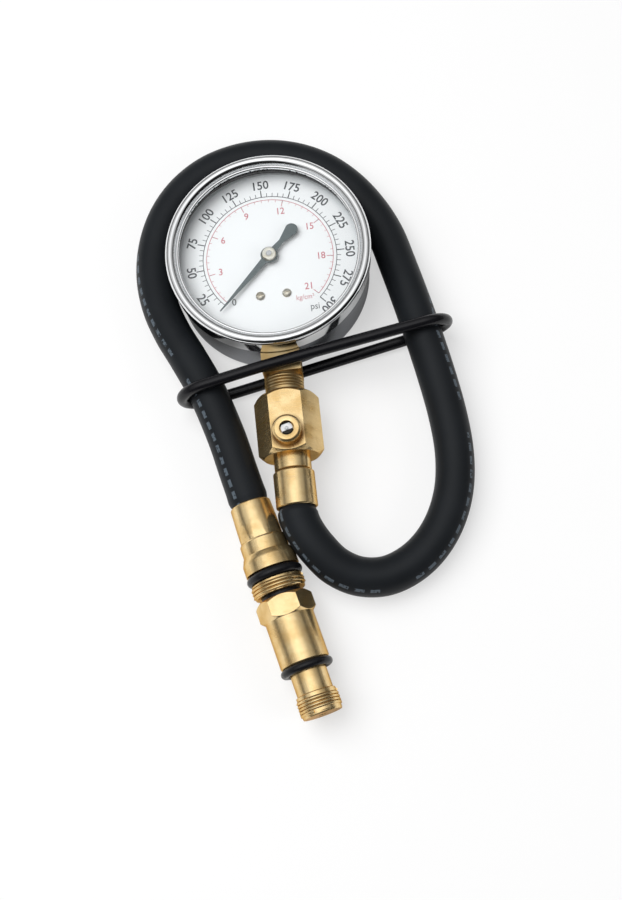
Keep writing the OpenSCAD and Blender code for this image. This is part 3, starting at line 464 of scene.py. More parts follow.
def turned_brass(name, axis, marks=0.6, rough=0.23, tint=(0.82, 0.60, 0.28), dents=2.5, foot=None):
    """The foot is an axis, a radius and a reach in millimetres, where painted shade darkens the brass round
    a fitting.
    """
    f = Finish(name)
    place = f.coords()
    along = along_axis(f, place, axis)
    rings = f.noise_along(along, 5200, 2)
    bands = f.noise_along(along, 700, 1)
    stain = f.noise(place, 180, 3)
    specks = f.noise(place, 2600, 2)
    hollows = f.noise(place, 420, 2)
    warm = tuple(c*k for c, k in zip(tint, (0.86, 0.78, 0.68)))
    pale = tuple(min(1, c*k) for c, k in zip(tint, (1.06, 1.10, 1.25)))
    patches = f.node("ShaderNodeMapRange", {}, {"Value": stain, "From Min": 0.40, "From Max": 0.66})
    colour = f.mix(patches*0.75, pale, warm)
    colour = f.mix((specks > 0.64)*0.35, colour, warm)
    # Painted shade: round a port's foot the brass is darkened, for the shadow in the crevice there.
    if foot:
        centre, radius, reach = foot
        foot_shade = f.ramp(out_from_axis(f, place, centre), radius*MM, (radius + reach)*MM, 0.85, 0.0)
        colour = f.mix(foot_shade*(stain + 0.4), colour, PORT_FOOT_SHADE)
    roughness = rough + (bands - 0.5)*0.10 + (stain - 0.5)*0.16
    height = rings*marks + specks*0.4 + hollows*dents
    return f.principled(Base_Color=colour, Metallic=0.93, Roughness=roughness,
        Specular_Tint=(0.62, 0.42, 0.22), Normal=f.bump(height, 0.006*MM))


stem_brass = turned_brass("stem_brass", stem_axis, rough=0.25, foot=(port_axis, 4.6, 2.0))
# Painted shade: the stem's block gets a darker, duller brass, for the shadow and dark reflection of the cup
# beside it.
shaded_socket_brass = turned_brass("shaded_socket_brass", stem_axis, rough=0.32, tint=(0.64, 0.47, 0.22))
far_brass = turned_brass("far_brass", far_axis)
dial_brass = turned_brass("dial_brass", dial_axis, tint=(0.82, 0.66, 0.36))
pale_brass = turned_brass("pale_brass", dial_axis, rough=0.32, tint=(0.74, 0.70, 0.56), dents=0.0)
port_brass = turned_brass("port_brass", port_axis)
bronze = turned_brass("bronze", dial_axis, marks=0.2, rough=0.3, tint=(0.62, 0.38, 0.17))
print("brass finishes ready")

# %% [markdown]
# ### Chrome
# The bezel is bright plated brass and the cup behind it is darker plated steel. Plate is nearly a
# mirror, with faint swirls from wiping, so most of its look is what it reflects. The cup is a little
# duller, because it is drawn from sheet and less polished before it is plated.

# %% Chrome plate
def plated(name, tint, rough):
    f = Finish(name)
    place = f.coords()
    wipe = f.noise(place, 90, 4)
    fine = f.noise(place, 1500)
    return f.principled(Base_Color=f.mix(wipe, tint, tuple(c*0.94 for c in tint)), Metallic=1.0,
        Roughness=rough + (wipe - 0.5)*0.05 + (fine - 0.5)*0.02)


bezel_chrome = plated("bezel_chrome", (0.86, 0.87, 0.88), 0.07)
case_steel = plated("case_steel", (0.22, 0.23, 0.25), 0.24)
print("chrome:", bezel_chrome.name, case_steel.name)

# %% [markdown]
# ### Steel
# Arbors, screws, springs and valve pins are plain steel, ground or drawn, with a fine grain in their
# colour, their roughness and their bump. The inside of the cup is bare steel that nobody polishes, and
# its colour is painted dark as shade for the wall behind the window.

# %% Plain steel
def plain_steel(name, tint, rough):
    f = Finish(name)
    grain = f.noise(f.coords(), 1800, 3)
    return f.principled(Base_Color=f.mix(grain, tint, tuple(c*0.8 for c in tint)), Metallic=1.0,
        Roughness=rough + (grain - 0.5)*0.15, Normal=f.bump(grain, 0.004*MM))


# Painted shade: the cup's inside is painted nearly black, for the shadowed wall behind the window.
bare_inside_and_shade = plain_steel("bare_inside_and_shade", (0.05, 0.05, 0.055), 0.5)
steel = plain_steel("steel", (0.62, 0.63, 0.65), 0.28)
spring_blue = plain_steel("spring_blue", (0.16, 0.20, 0.32), 0.3)
core_silver = plain_steel("core_silver", (0.85, 0.86, 0.87), 0.16)
print("steel:", [made.name for made in (bare_inside_and_shade, steel, spring_blue, core_silver)])

# %% [markdown]
# ### Valve core
# A valve core's top is a bright bridge with a dark opening on each side. Holes would have to be cut in
# the measured solid. Light hardly reaches into such small openings, so colour does it: they are dark by
# their distance across the bridge, which stands at the angle that it was screwed in to.

# %% The top of the valve core
BRIDGE_TURN = math.radians(-75)
BRIDGE_SIDES = (-1.4*MM, 0.7*MM)


def slotted_core():
    f = Finish("slotted_core")
    place = f.coords()
    moved = f.vector("SUBTRACT", place, port_axis.origin*MM)
    across = f.vector("DOT_PRODUCT", moved, (math.cos(BRIDGE_TURN), math.sin(BRIDGE_TURN), 0), out="Value")
    opening = (across > BRIDGE_SIDES[1]) + (across < BRIDGE_SIDES[0])
    grain = f.noise(place, 1800, 3)
    return f.principled(Base_Color=f.mix(opening, (0.66, 0.66, 0.67), (0.03, 0.028, 0.025)), Metallic=1.0,
        Roughness=0.22 + (grain - 0.5)*0.15, Normal=f.bump(grain, 0.004*MM))


slotted_steel = slotted_core()
print("the bridge is", round((BRIDGE_SIDES[1] - BRIDGE_SIDES[0])/MM, 1), "mm wide")

# %% [markdown]
# ### Window
# The window is a plain clear disc. A Glass shader would stop the lamps' light from reaching the dial, so
# this mixes Transparent with a mirror that grows with the slant of the view, and the dial keeps its
# light and shadows. Layer Weight gives the slant from both faces alike, so the disc doesn't turn black
# from below.

# %% A clear window
def clear_window():
    f = Finish("clear_window")
    slant = f.node("ShaderNodeLayerWeight", {}, {"Blend": 0.5}, out="Facing")
    mirrored = f.math("POWER", slant, 5.0)*0.7 + 0.03
    clear = f.node("ShaderNodeBsdfTransparent", {}, {"Color": (0.985, 0.992, 0.995, 1)})
    shine = f.node("ShaderNodeBsdfGlossy", {}, {"Color": (1, 1, 1, 1),
        "Roughness": f.noise(f.coords(), 300)*0.03})
    return f.surface(f.node("ShaderNodeMixShader", {}, {0: mirrored, 1: clear, 2: shine}))


window_clear = clear_window()
print("window:", window_clear.name)

# %% [markdown]
# ### Rubber
# The hose has a smooth extruded cover with a soft sheen and faint scuffs. A broken grey line runs along
# it. It is drawn from the hose's own UV map, which counts metres round and along, so it follows every
# bend. The band and the seals are darker and glossier, with a fine mould grain and a little dust.

# %% The hose's cover
LINE_HALF = 0.65*MM
DASH, DASH_INKED = 4.2*MM, 0.62
GROUP, GROUP_INKED = 58*MM, 0.84


def hose_rubber():
    f = Finish("hose_rubber")
    uv = f.node("ShaderNodeUVMap", {"uv_map": "lay"})
    round_it, along = (f.node("ShaderNodeSeparateXYZ", {}, {0: uv}, out=way) for way in ("X", "Y"))
    place = f.coords()
    grain = f.noise(place, 1900, 3)
    scuff = f.noise(place, 70, 4)
    near_line = f.math("ABSOLUTE", round_it) < LINE_HALF
    worn = f.noise(place, 1400) > 0.40
    ink = near_line*(along.part(DASH) < DASH_INKED)*(along.part(GROUP) < GROUP_INKED)*worn
    black = f.mix(scuff, (0.0075, 0.0086, 0.0100), (0.0135, 0.0155, 0.018))
    return f.principled(Base_Color=f.mix(ink*0.62, black, (0.12, 0.15, 0.18)),
        Roughness=0.42 + (scuff - 0.5)*0.16 + (grain - 0.5)*0.08, Specular_IOR_Level=0.13,
        Normal=f.bump(grain, 0.012*MM))


hose_black = hose_rubber()
hose_skin.data.materials.append(hose_black)
print("hose finish:", hose_black.name, "with", len(hose_black.node_tree.nodes), "nodes")

# %% Moulded rubber
def moulded_rubber(name, shade, rough):
    f = Finish(name)
    place = f.coords()
    grain = f.noise(place, 2600, 3)
    dust = f.noise(place, 260, 3)
    return f.principled(Base_Color=f.mix(dust, shade, tuple(c*1.7 for c in shade)), Specular_IOR_Level=0.28,
        Roughness=rough + (dust - 0.5)*0.12, Normal=f.bump(grain, 0.008*MM))


seal_black = moulded_rubber("seal_black", (0.005, 0.005, 0.006), 0.28)
band_black = moulded_rubber("band_black", (0.004, 0.004, 0.005), 0.24)
print("moulded rubber:", seal_black.name, band_black.name)

# %% [markdown]
# ### Paint and ink
# The pointer is painted a dark grey-green. The ink of the scales is thicker than the coat it lies on, so
# the numbers and lines are thin pieces with a finish of their own.

# %% Paint and ink
def coated(name, shade, rough):
    f = Finish(name)
    place = f.coords()
    grain = f.noise(place, 1200, 3)
    cloud = f.noise(place, 60)
    return f.principled(Base_Color=f.mix(cloud, shade, tuple(c*0.965 for c in shade)),
        Roughness=rough + (grain - 0.5)*0.1, Normal=f.bump(grain, 0.004*MM))


ink_black = coated("ink_black", (0.030, 0.034, 0.040), 0.5)
ink_red = coated("ink_red", (0.50, 0.15, 0.18), 0.5)
pointer_paint = coated("pointer_paint", (0.055, 0.075, 0.078), 0.38)
print("paint and ink:", [made.name for made in (ink_black, ink_red, pointer_paint)])

# %% [markdown]
# ### Dial coat
# The dial is sheet metal with a satin white coat, which must stay under full white or its numbers would
# bleach out. The rolled rim keeps some light off its edge, and a little of that shade is put in the
# coat, because the lamps here are larger than a room's.

# %% The dial's coat
SHADE_FROM, SHADE_TO = 27.5*MM, 31.2*MM


def dial_coat():
    f = Finish("dial_white")
    place = f.coords()
    rim = f.ramp(out_from_axis(f, place, dial_axis), SHADE_FROM, SHADE_TO)
    white = f.mix(f.noise(place, 60), (0.812, 0.817, 0.819), (0.796, 0.801, 0.804))
    return f.principled(Base_Color=f.mix(rim*0.28, white, (0.42, 0.48, 0.52)),
        Roughness=0.42 + (f.noise(place, 1200, 3) - 0.5)*0.1)


dial_white = dial_coat()
print("dial coat:", dial_white.name)

# %% [markdown]
# ## Pieces from the solids
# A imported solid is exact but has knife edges, and on a real piece light catches every edge. A copy of
# its mesh is welded, its sharp edges are eased, and it is shaded smoothly with normals weighted by face
# area. The copy then stands for the solid. Modelling each piece again would only risk another size.

# %% From a live object to a plain mesh
def result_mesh(thing):
    """A new mesh of what an object shows, with its modifiers, or with a text as its outlines."""
    graph = bpy.context.evaluated_depsgraph_get()
    return bpy.data.meshes.new_from_object(thing.evaluated_get(graph))


def bake(thing):
    """Gives an object the mesh that its modifiers make, and takes them off."""
    mesh = result_mesh(thing)
    thing.modifiers.clear()
    old, thing.data = thing.data, mesh
    bpy.data.meshes.remove(old)


# %% Eased edges
EASED_FROM = math.radians(24)
SHARP_FROM = math.radians(38)


def eased_object(name, form, finish, edge):
    """An object from a bmesh in metres, its sharp edges eased by edge millimetres, its normals weighted."""
    if edge:
        corners = [e for e in form.edges if len(e.link_faces) == 2 and e.calc_face_angle(0) > EASED_FROM]
        bmesh.ops.bevel(form, geom=corners, offset=edge*MM, offset_type="OFFSET", segments=2, profile=0.6,
            affect="EDGES", clamp_overlap=True)
    for face in form.faces:
        face.smooth = True
    for e in form.edges:
        e.smooth = e.calc_face_angle(math.pi) < SHARP_FROM
    mesh = bpy.data.meshes.new(name)
    form.to_mesh(mesh)
    form.free()
    mesh.materials.append(finish)
    thing = placed(name, mesh)
    thing.modifiers.new("weighted", "WEIGHTED_NORMAL").keep_sharp = True
    bake(thing)
    return thing


# %% [markdown]
# ### Copies of solids
# A solid has a plain cylinder at the crest of each thread. On the copy that cylinder is drawn in to the
# thread's root, and the thread itself is wound round it later. Each finished piece is then handed over:
# the body it moves with, and the solids that it stands for, which are hidden.

# %% Skins for solids
WELD = 0.002*MM
SLACK = 0.02


def dressed(node, finish, edge, threads=()):
    """The skin of a solid. Each thread is (axis, start, end, crest radius, root radius) in millimetres."""
    form = bmesh.new()
    form.from_mesh(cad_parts[node].data)
    bmesh.ops.remove_doubles(form, verts=form.verts, dist=WELD)
    for axis, start, end, crest, root in threads:
        for vert in form.verts:
            along, radius, angle = axis.place(vert.co)
            if start - SLACK <= along <= end + SLACK and root < radius <= crest + SLACK:
                vert.co = axis.point(along, root, angle)
    return eased_object(node + "_skin", form, finish, edge)


def settle(thing, body, slot_name, *nodes):
    """Hands a finished piece over: its body and the solids it stands for, which are hidden. slot_name is not
    used.
    """
    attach(thing, body)
    if nodes:
        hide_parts(*nodes)
    return thing


# %% Every skin, with its finish, body, slot, eased edge and threads
STEM_THREAD = (stem_axis, 40.1, 45.5, 6.6, 6.0)
LARGE_THREAD = (far_axis, 26.4, 30.7, 8.9, 8.2)
SMALL_THREAD = (far_axis, 64.0, 70.5, 7.0, 6.35)
SMALL_RIDGE = (far_axis, 64.2, 69.9, 7.0, 6.35)
skins = {
    "gauge_case": (case_steel, "gauge_and_hose", "case_chrome", 0.1, ()),
    "bezel_ring": (bezel_chrome, "gauge_and_hose", "bezel_chrome", 0.08, ()),
    "window_gasket": (seal_black, "gauge_and_hose", "seal_rubber", 0.06, ()),
    "pointer": (pointer_paint, "pointer_set", "pointer_dark", 0.06, ()),
    "pointer_boss": (pale_brass, "pointer_set", "brass_yellow", 0.1, ()),
    "dial_screws": (pale_brass, "gauge_and_hose", "brass_yellow", 0.05, ()),
    "stem_socket": (shaded_socket_brass, "gauge_and_hose", "brass_yellow", 0.25, (STEM_THREAD,)),
    "valve_body": (stem_brass, "gauge_and_hose", "brass_yellow", 0.14, ()),
    "bleed_port": (port_brass, "gauge_and_hose", "brass_yellow", 0.1, ()),
    "bleed_pin": (steel, "bleed_pin_set", "steel_plain", 0.06, ()),
    "bleed_core": (slotted_steel, "gauge_and_hose", "steel_plain", 0.06, ()),
    "gauge_ferrule": (stem_brass, "gauge_and_hose", "brass_yellow", 0.12, ()),
    "far_ferrule": (far_brass, "gauge_and_hose", "brass_yellow", 0.14, ()),
    "hose_end": (far_brass, "gauge_and_hose", "brass_yellow", 0.12, (LARGE_THREAD,)),
    "large_seal_ring": (seal_black, "gauge_and_hose", "seal_rubber", 0, ()),
    "flat_seal": (seal_black, "seal_washer", "seal_rubber", 0.1, ()),
    "adapter_body": (far_brass, "adapter", "brass_yellow", 0.14, (SMALL_THREAD,)),
    "small_seal_ring": (seal_black, "adapter", "seal_rubber", 0, ()),
}
for node, (finish, body, slot_name, edge, threads) in skins.items():
    made = settle(dressed(node, finish, edge, threads), body, slot_name, node)
    print(made.name, len(made.data.polygons))

# %% [markdown]
# ### Inside of the cup
# Only the outside of the cup is bright. A second material, bare steel painted dark as shade, goes on the
# faces that look inwards, which the direction of their normals tells, because a bright wall behind the
# window would light up the dial's edge.

# %% The dark inside of the cup
CUP_R = 32.6
BACK_SHEET = 1.0
FACES_OUT = 0.3
cup = bpy.data.objects["gauge_case_skin"].data
cup.materials.append(bare_inside_and_shade)
for face in cup.polygons:
    along, radius, angle = dial_axis.place(face.center)
    outward = face.normal.x*math.cos(angle) + face.normal.y*math.sin(angle)
    if radius < CUP_R and along > BACK_SHEET and outward < FACES_OUT:
        face.material_index = 1
print("dark faces in the cup:", sum(face.material_index for face in cup.polygons))

# %% [markdown]
# ### Inner solids
# The solids that stay as they are lie inside the gauge, the port and the hose, where no edge catches
# light. They take their finish through their own material slots.
# The solids that a skin stands for get the finish of their skin, so that both always agree.

# %% Finishes of the inner solids
inner = {
    window_clear: ["window_lens"],
    dial_white: ["dial_plate"],
    dial_brass: ["dial_posts", "sector_gear", "link_bar", "tube_tip", "movement_back_plate",
        "movement_front_plate", "movement_pillars"],
    bronze: ["bourdon_tube"],
    steel: ["pinion_arbor", "sector_arbor", "movement_screws", "case_screws", "check_pin"],
    core_silver: ["check_core"],
    spring_blue: ["hairspring", "check_spring"],
    stem_brass: ["gauge_nipple"],
}
finish_of = {node: finish for finish, nodes in inner.items() for node in nodes}
finish_of.update({node: row[0] for node, row in skins.items()})
finish_of.update({"hose": hose_black, "retaining_band": band_black, "bleed_spring": spring_blue})
for node, finish in finish_of.items():
    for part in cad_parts[node].material_slots:
        part.material = finish
print("solids with a finish:", len(finish_of), "of", len(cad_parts))

# %% [markdown]
# ## Bleed spring
# The spring under the bleed pin gets shorter when the pin is pressed. A rigid copy would be cut by the
# pin's collar. This copy is a skin like the others, with a mesh of its own that is not shared.
# Squashed along its own axis, towards its seat, by the travel of the pin and a hair more, so that it
# never touches the collar.

# %% The spring that is pressed
bleed_spring_skin = settle(dressed("bleed_spring", spring_blue, 0), "gauge_and_hose", "spring_steel",
    "bleed_spring")
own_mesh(bleed_spring_skin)

# %% [markdown]
# ## Threads
# A cut thread is one ridge that winds round a root cylinder. A twisted stack of rings would not climb,
# and a picture of a thread has no edges against the light. So a node tree draws a spiral, sweeps a
# four-sided outline along it and closes its ends, with turns, pitch, radius and depth as its inputs.

# %% Making a node tree and running it
def new_tree(name, **inputs):
    """An empty geometry tree with named inputs. Gives the tree, its input sockets and its output node."""
    tree = bpy.data.node_groups.new(name, "GeometryNodeTree")
    for label, kind in inputs.items():
        tree.interface.new_socket(label, in_out="INPUT", socket_type="NodeSocket" + kind)
    tree.interface.new_socket("Geometry", in_out="OUTPUT", socket_type="NodeSocketGeometry")
    return tree, tree.nodes.new("NodeGroupInput").outputs, tree.nodes.new("NodeGroupOutput")


def end_tree(tree, shape, finish, result):
    """The last nodes of every tree here: real geometry, painted with a finish."""
    real = wired(tree, "GeometryNodeRealizeInstances", {}, {"Geometry": shape})
    painted = wired(tree, "GeometryNodeSetMaterial", {}, {"Geometry": real, "Material": finish})
    tree.links.new(painted, result.inputs["Geometry"])


def run_tree(name, tree, values):
    """A mesh object made by a tree with these input values, and no modifier left on it."""
    thing = placed(name, bpy.data.meshes.new(name))
    maker = thing.modifiers.new("maker", "NODES")
    maker.node_group = tree
    names = {item.name: item.identifier for item in tree.interface.items_tree if item.in_out == "INPUT"}
    for label, value in values.items():
        maker[names[label]] = value
    bake(thing)
    return thing


# %% A node tree for threads
RIDGE_FILL = 0.98
thread_tree, given, result = new_tree("thread", Turns="Float", Pitch="Float", Radius="Float", Depth="Float",
    Finish="Material")
rise = math_node(thread_tree, "MULTIPLY", given["Turns"], given["Pitch"])
spiral = wired(thread_tree, "GeometryNodeCurveSpiral", {}, {"Resolution": 96, "Rotations": given["Turns"],
    "Start Radius": given["Radius"], "End Radius": given["Radius"], "Height": rise})
upright = wired(thread_tree, "GeometryNodeSetCurveNormal", {}, {"Curve": spiral})
width = math_node(thread_tree, "MULTIPLY", given["Pitch"], RIDGE_FILL)
height = math_node(thread_tree, "MULTIPLY", given["Depth"], 2.0)
outline = wired(thread_tree, "GeometryNodeCurvePrimitiveCircle", {}, {"Resolution": 4, "Radius": 0.5})
size = wired(thread_tree, "ShaderNodeCombineXYZ", {}, {0: width, 1: height, 2: 1.0})
sized = wired(thread_tree, "GeometryNodeTransform", {}, {"Geometry": outline, "Scale": size})
swept = wired(thread_tree, "GeometryNodeCurveToMesh", {}, {"Curve": upright, "Profile Curve": sized,
    "Fill Caps": True})
smooth = wired(thread_tree, "GeometryNodeSetShadeSmooth", {}, {0: swept, "Shade Smooth": True})
end_tree(thread_tree, smooth, given["Finish"], result)
print("thread tree:", len(thread_tree.nodes), "nodes")

# %% [markdown]
# ### The three threads
# The stem screws into the valve body, the hose end fits an 18 mm plug hole and the adapter's tip a 14 mm
# one. Each ridge lies on the root cylinder of its piece, and its middle keeps half a pitch from both
# ends. The tip is chamfered, so its ridge is shorter than its root.

# %% Threads on their pieces
def cut_thread(name, thread, pitch, finish, body):
    """The ridge of a thread on its root cylinder, from start to end along the axis."""
    axis, start, end, crest, root = thread
    turns = (end - start - pitch)/pitch
    ridge = run_tree(name, thread_tree, {"Turns": turns, "Pitch": pitch*MM, "Radius": root*MM,
        "Depth": (crest - root)*MM, "Finish": finish})
    ridge.data.transform(axis.matrix(start + pitch/2))
    highest = max(axis.place(v.co)[1] for v in ridge.data.vertices)
    print(name, "faces", len(ridge.data.polygons), "crest", round(highest, 3))
    return settle(ridge, body, "brass_yellow")


cut_thread("stem_thread", STEM_THREAD, 1.05, shaded_socket_brass, "gauge_and_hose")
cut_thread("large_thread", LARGE_THREAD, 1.1, far_brass, "gauge_and_hose")
cut_thread("small_thread", SMALL_RIDGE, 1.0, far_brass, "adapter")

# %% [markdown]
# ## Retaining band
# A rubber ring is stretched round both legs of the hose and over the stem's block. Stretched rubber is
# as short as it can be, so its line is the convex hull of the circles that it wraps: a large one round
# each hose leg, which leans and so is cut a little wider, and a small one at each edge of the block.

# %% The band's line
BAND_R = 1.9
BAND_GAP = 0.15
BLOCK_HALF = 6.35
BLOCK_TOP = 18.85
LEFT_LEG, RIGHT_LEG = -25.84, 47.9
LEG_LEANS = 1.05
CIRCLE_POINTS = 72
BAND_PIECE = 2.5
wrap_r = HOSE_R*LEG_LEANS + BAND_GAP + BAND_R
band_circles = [(LEFT_LEG, wrap_r + BAND_R, wrap_r), (RIGHT_LEG, wrap_r + BAND_R, wrap_r),
    (-BLOCK_HALF, BLOCK_TOP, BAND_R + BAND_GAP), (BLOCK_HALF, BLOCK_TOP, BAND_R + BAND_GAP)]


def hull(points):
    """The convex hull, anticlockwise."""
    points = sorted(set(points))

    def half(run):
        kept = []
        for p in run:
            while len(kept) > 1 and ((kept[-1][0] - kept[-2][0])*(p[1] - kept[-2][1])
                    - (kept[-1][1] - kept[-2][1])*(p[0] - kept[-2][0])) <= 0:
                kept.pop()
            kept.append(p)
        return kept[:-1]
    return half(points) + half(points[::-1])


rim = hull([(round(x + r*math.cos(a), 6), round(z + r*math.sin(a), 6)) for x, z, r in band_circles
    for a in (2*math.pi*k/CIRCLE_POINTS for k in range(CIRCLE_POINTS))])
band_line = []
for (x0, z0), (x1, z1) in zip(rim, rim[1:] + rim[:1]):
    pieces = max(1, int(math.hypot(x1 - x0, z1 - z0)/BAND_PIECE))
    band_line += [(x0 + (x1 - x0)*k/pieces, z0 + (z1 - z0)*k/pieces) for k in range(pieces)]
print("the band wraps", len(band_line), "points")

# %% [markdown]
# ### The band's rings
# The line lies in an upright plane that is turned a little, and its lower strand lies nearer the gauge
# than its upper one, more so to the right. A ring of points stands square to the line at each of its
# places.

# %% The band
BAND_Y = -37.7
LOWER_SHIFT = 1.2
SHIFT_PER_MM = 0.0267
BAND_SIDES = 20
band_turn = math.radians(9.3)
band_top = BLOCK_TOP + BAND_GAP + BAND_R
across = Vector((-math.sin(band_turn), math.cos(band_turn), 0))
level = Vector((math.cos(band_turn), math.sin(band_turn), 0))
form = bmesh.new()
rings = []
for i, (x, z) in enumerate(band_line):
    (x0, z0), (x1, z1) = band_line[i - 1], band_line[(i + 1) % len(band_line)]
    outward = Vector((z1 - z0, 0, -(x1 - x0))).normalized()
    outward = outward.x*level + Vector((0, 0, outward.z))
    low = (band_top - z)/(BLOCK_TOP + BAND_GAP)
    middle = x*level + Vector((0, BAND_Y + (LOWER_SHIFT + SHIFT_PER_MM*x)*low, z))
    rings.append(ring_of(form, middle*MM, BAND_R, outward, across, BAND_SIDES))
for before, after in zip(rings, rings[1:] + rings[:1]):
    join_rings(form, before, after)
bmesh.ops.recalc_face_normals(form, faces=form.faces)
settle(eased_object("band_skin", form, band_black, 0), "gauge_and_hose", "seal_rubber", "retaining_band")
print("band rings", len(rings))

# %% [markdown]
# ## Hose hand-over
# The hose's skin goes onto the gauge's body and stands for the solid hose, which is hidden. Its length
# comes from its route, which the photograph shows from end to end.

# %% The cord
settle(hose_skin, "gauge_and_hose", "hose_rubber", "hose")
print("cord of", round(hose_length, 4), "m")

# %% [markdown]
# ## Dial print
# Two scales are printed on the plate, an inner red one and an outer black one, each with its marks along
# an arc. An image would do for print, but it blurs close up, so the print is thin mesh. The marks are one
# bar, repeated by a fixed angle, and a node tree sets such a row of bars along an arc.

# %% A node tree for the marks
PRINT_Z = 19.6
PRINT_LIFT = 0.008
PRINT_T = 0.03
tick_tree, given, result = new_tree("ticks", Count="Int", Start="Float", Step="Float", Radius="Float",
    Length="Float", Width="Float", Height="Float", Finish="Material")
row = wired(tick_tree, "GeometryNodeMeshLine", {}, {"Count": given["Count"]})
number = wired(tick_tree, "GeometryNodeInputIndex")
turned_by = math_node(tick_tree, "MULTIPLY_ADD", number, given["Step"], given["Start"])
spot = {2: given["Height"]}
for way, wave in enumerate(("COSINE", "SINE")):
    unit = math_node(tick_tree, wave, turned_by)
    spot[way] = math_node(tick_tree, "MULTIPLY", unit, given["Radius"])
place = wired(tick_tree, "ShaderNodeCombineXYZ", {}, spot)
spread = wired(tick_tree, "GeometryNodeSetPosition", {}, {"Geometry": row, "Position": place})
size = wired(tick_tree, "ShaderNodeCombineXYZ", {}, {0: given["Length"], 1: given["Width"], 2: PRINT_T*MM})
bar = wired(tick_tree, "GeometryNodeMeshCube", {}, {"Size": size})
heading = wired(tick_tree, "ShaderNodeCombineXYZ", {}, {2: turned_by})
bars = wired(tick_tree, "GeometryNodeInstanceOnPoints", {}, {"Points": spread, "Instance": bar,
    "Rotation": heading})
end_tree(tick_tree, bars, given["Finish"], result)
print("tick tree:", len(tick_tree.nodes), "nodes")

# %% Rows of marks
def ticks(name, count, start, step, inner_r, outer_r, width, finish):
    """Bars between two radii, from a start angle by a step, in degrees and millimetres."""
    return run_tree(name, tick_tree, {"Count": count, "Start": math.radians(start),
        "Step": math.radians(step), "Radius": (inner_r + outer_r)/2*MM, "Length": (outer_r - inner_r)*MM,
        "Width": width*MM, "Height": (PRINT_Z + PRINT_LIFT)*MM, "Finish": finish})


# %% [markdown]
# ### Arcs and words
# An arc is a flat bar bent round the dial's centre. A number is a text object turned into a mesh, because
# the export takes no text. The black numbers turn with their scale and the red ones stand upright. Type
# on such dials is a little narrower than the font, and a printing plate makes it a little bolder.

# %% Arcs
def arc_line(name, radius, width, start, end, finish, pieces=220):
    """A printed arc, from a start angle to an end angle in degrees."""
    form = bmesh.new()
    low, high = PRINT_Z + PRINT_LIFT - PRINT_T/2, PRINT_Z + PRINT_LIFT + PRINT_T/2
    outline = ((-width/2, low), (width/2, low), (width/2, high), (-width/2, high))
    rows = []
    for k in range(pieces + 1):
        a = math.radians(start + (end - start)*k/pieces)
        rows.append([form.verts.new(dial_axis.point(z, radius + out, a)) for out, z in outline])
    for before, after in zip(rows, rows[1:]):
        join_rings(form, before, after)
    form.faces.new(rows[0])
    form.faces.new(rows[-1][::-1])
    bmesh.ops.recalc_face_normals(form, faces=form.faces)
    return eased_object(name, form, finish, 0)


# %% Words
def words(name, text, size, at, turn, finish, narrow=0.9, bold=0.03):
    """A flat word on the dial, centred at a point, turned by an angle in degrees."""
    curve = bpy.data.curves.new(name, "FONT")
    curve.body = text
    curve.size = size*MM
    curve.align_x = "CENTER"
    curve.align_y = "CENTER"
    curve.extrude = PRINT_T/2*MM
    curve.offset = bold*MM
    curve.resolution_u = 4
    thing = placed(name, curve)
    mesh = result_mesh(thing)
    bpy.data.objects.remove(thing)
    bpy.data.curves.remove(curve)
    spot = Matrix.Translation(Vector((at[0], at[1], PRINT_Z + PRINT_LIFT))*MM)
    mesh.transform(spot @ Matrix.Rotation(math.radians(turn), 4, "Z") @ Matrix.Diagonal((narrow, 1, 1, 1)))
    mesh.materials.clear()
    mesh.materials.append(finish)
    return placed(name, mesh)


# %% One piece from many
def merged(name, things, finish):
    """One object from several, all with one finish."""
    form = bmesh.new()
    for thing in things:
        old = thing.data
        form.from_mesh(old)
        bpy.data.objects.remove(thing)
        bpy.data.meshes.remove(old)
    mesh = bpy.data.meshes.new(name)
    form.to_mesh(mesh)
    form.free()
    for face in mesh.polygons:
        face.material_index = 0
    mesh.materials.append(finish)
    return placed(name, mesh)


# %% [markdown]
# ### The two scales
# A pressure becomes an angle by one rule for each scale, and every mark and every number but the zero
# takes its place from that rule. The first step of the outer scale is narrower than the others, as on a
# gauge that rests against its stop. The black numbers have their feet to the middle, apart from the
# first two, which would then be upside down. Numbers placed by hand would never make so even a scale.

# %% Angles of the scales
ZERO_AT = 223.4
PSI_STEP, PSI_MARK, PSI_TOP = 25, 5, 300
FIRST_STEP_AT = 208
DEGREES_PER_PSI = 0.929
KG_STEP, KG_MARK, KG_TOP = 3, 0.5, 21
FIRST_KG = 1
FIRST_KG_STEP_AT = 191
DEGREES_PER_KG = 13.14


def psi_angle(psi):
    """Angle on the dial of a pressure on the outer scale."""
    if psi > PSI_STEP:
        return FIRST_STEP_AT - DEGREES_PER_PSI*(psi - PSI_STEP)
    return ZERO_AT - (ZERO_AT - FIRST_STEP_AT)*psi/PSI_STEP


def kg_angle(kg):
    """Angle on the dial of a pressure on the inner scale."""
    return FIRST_KG_STEP_AT - DEGREES_PER_KG*(kg - KG_STEP)


def round_dial(radius, angle):
    """A point on the dial, from its radius and its angle in degrees."""
    return radius*math.cos(math.radians(angle)), radius*math.sin(math.radians(angle))


print("full sweep:", round(psi_angle(0) - psi_angle(PSI_TOP), 1), "degrees")

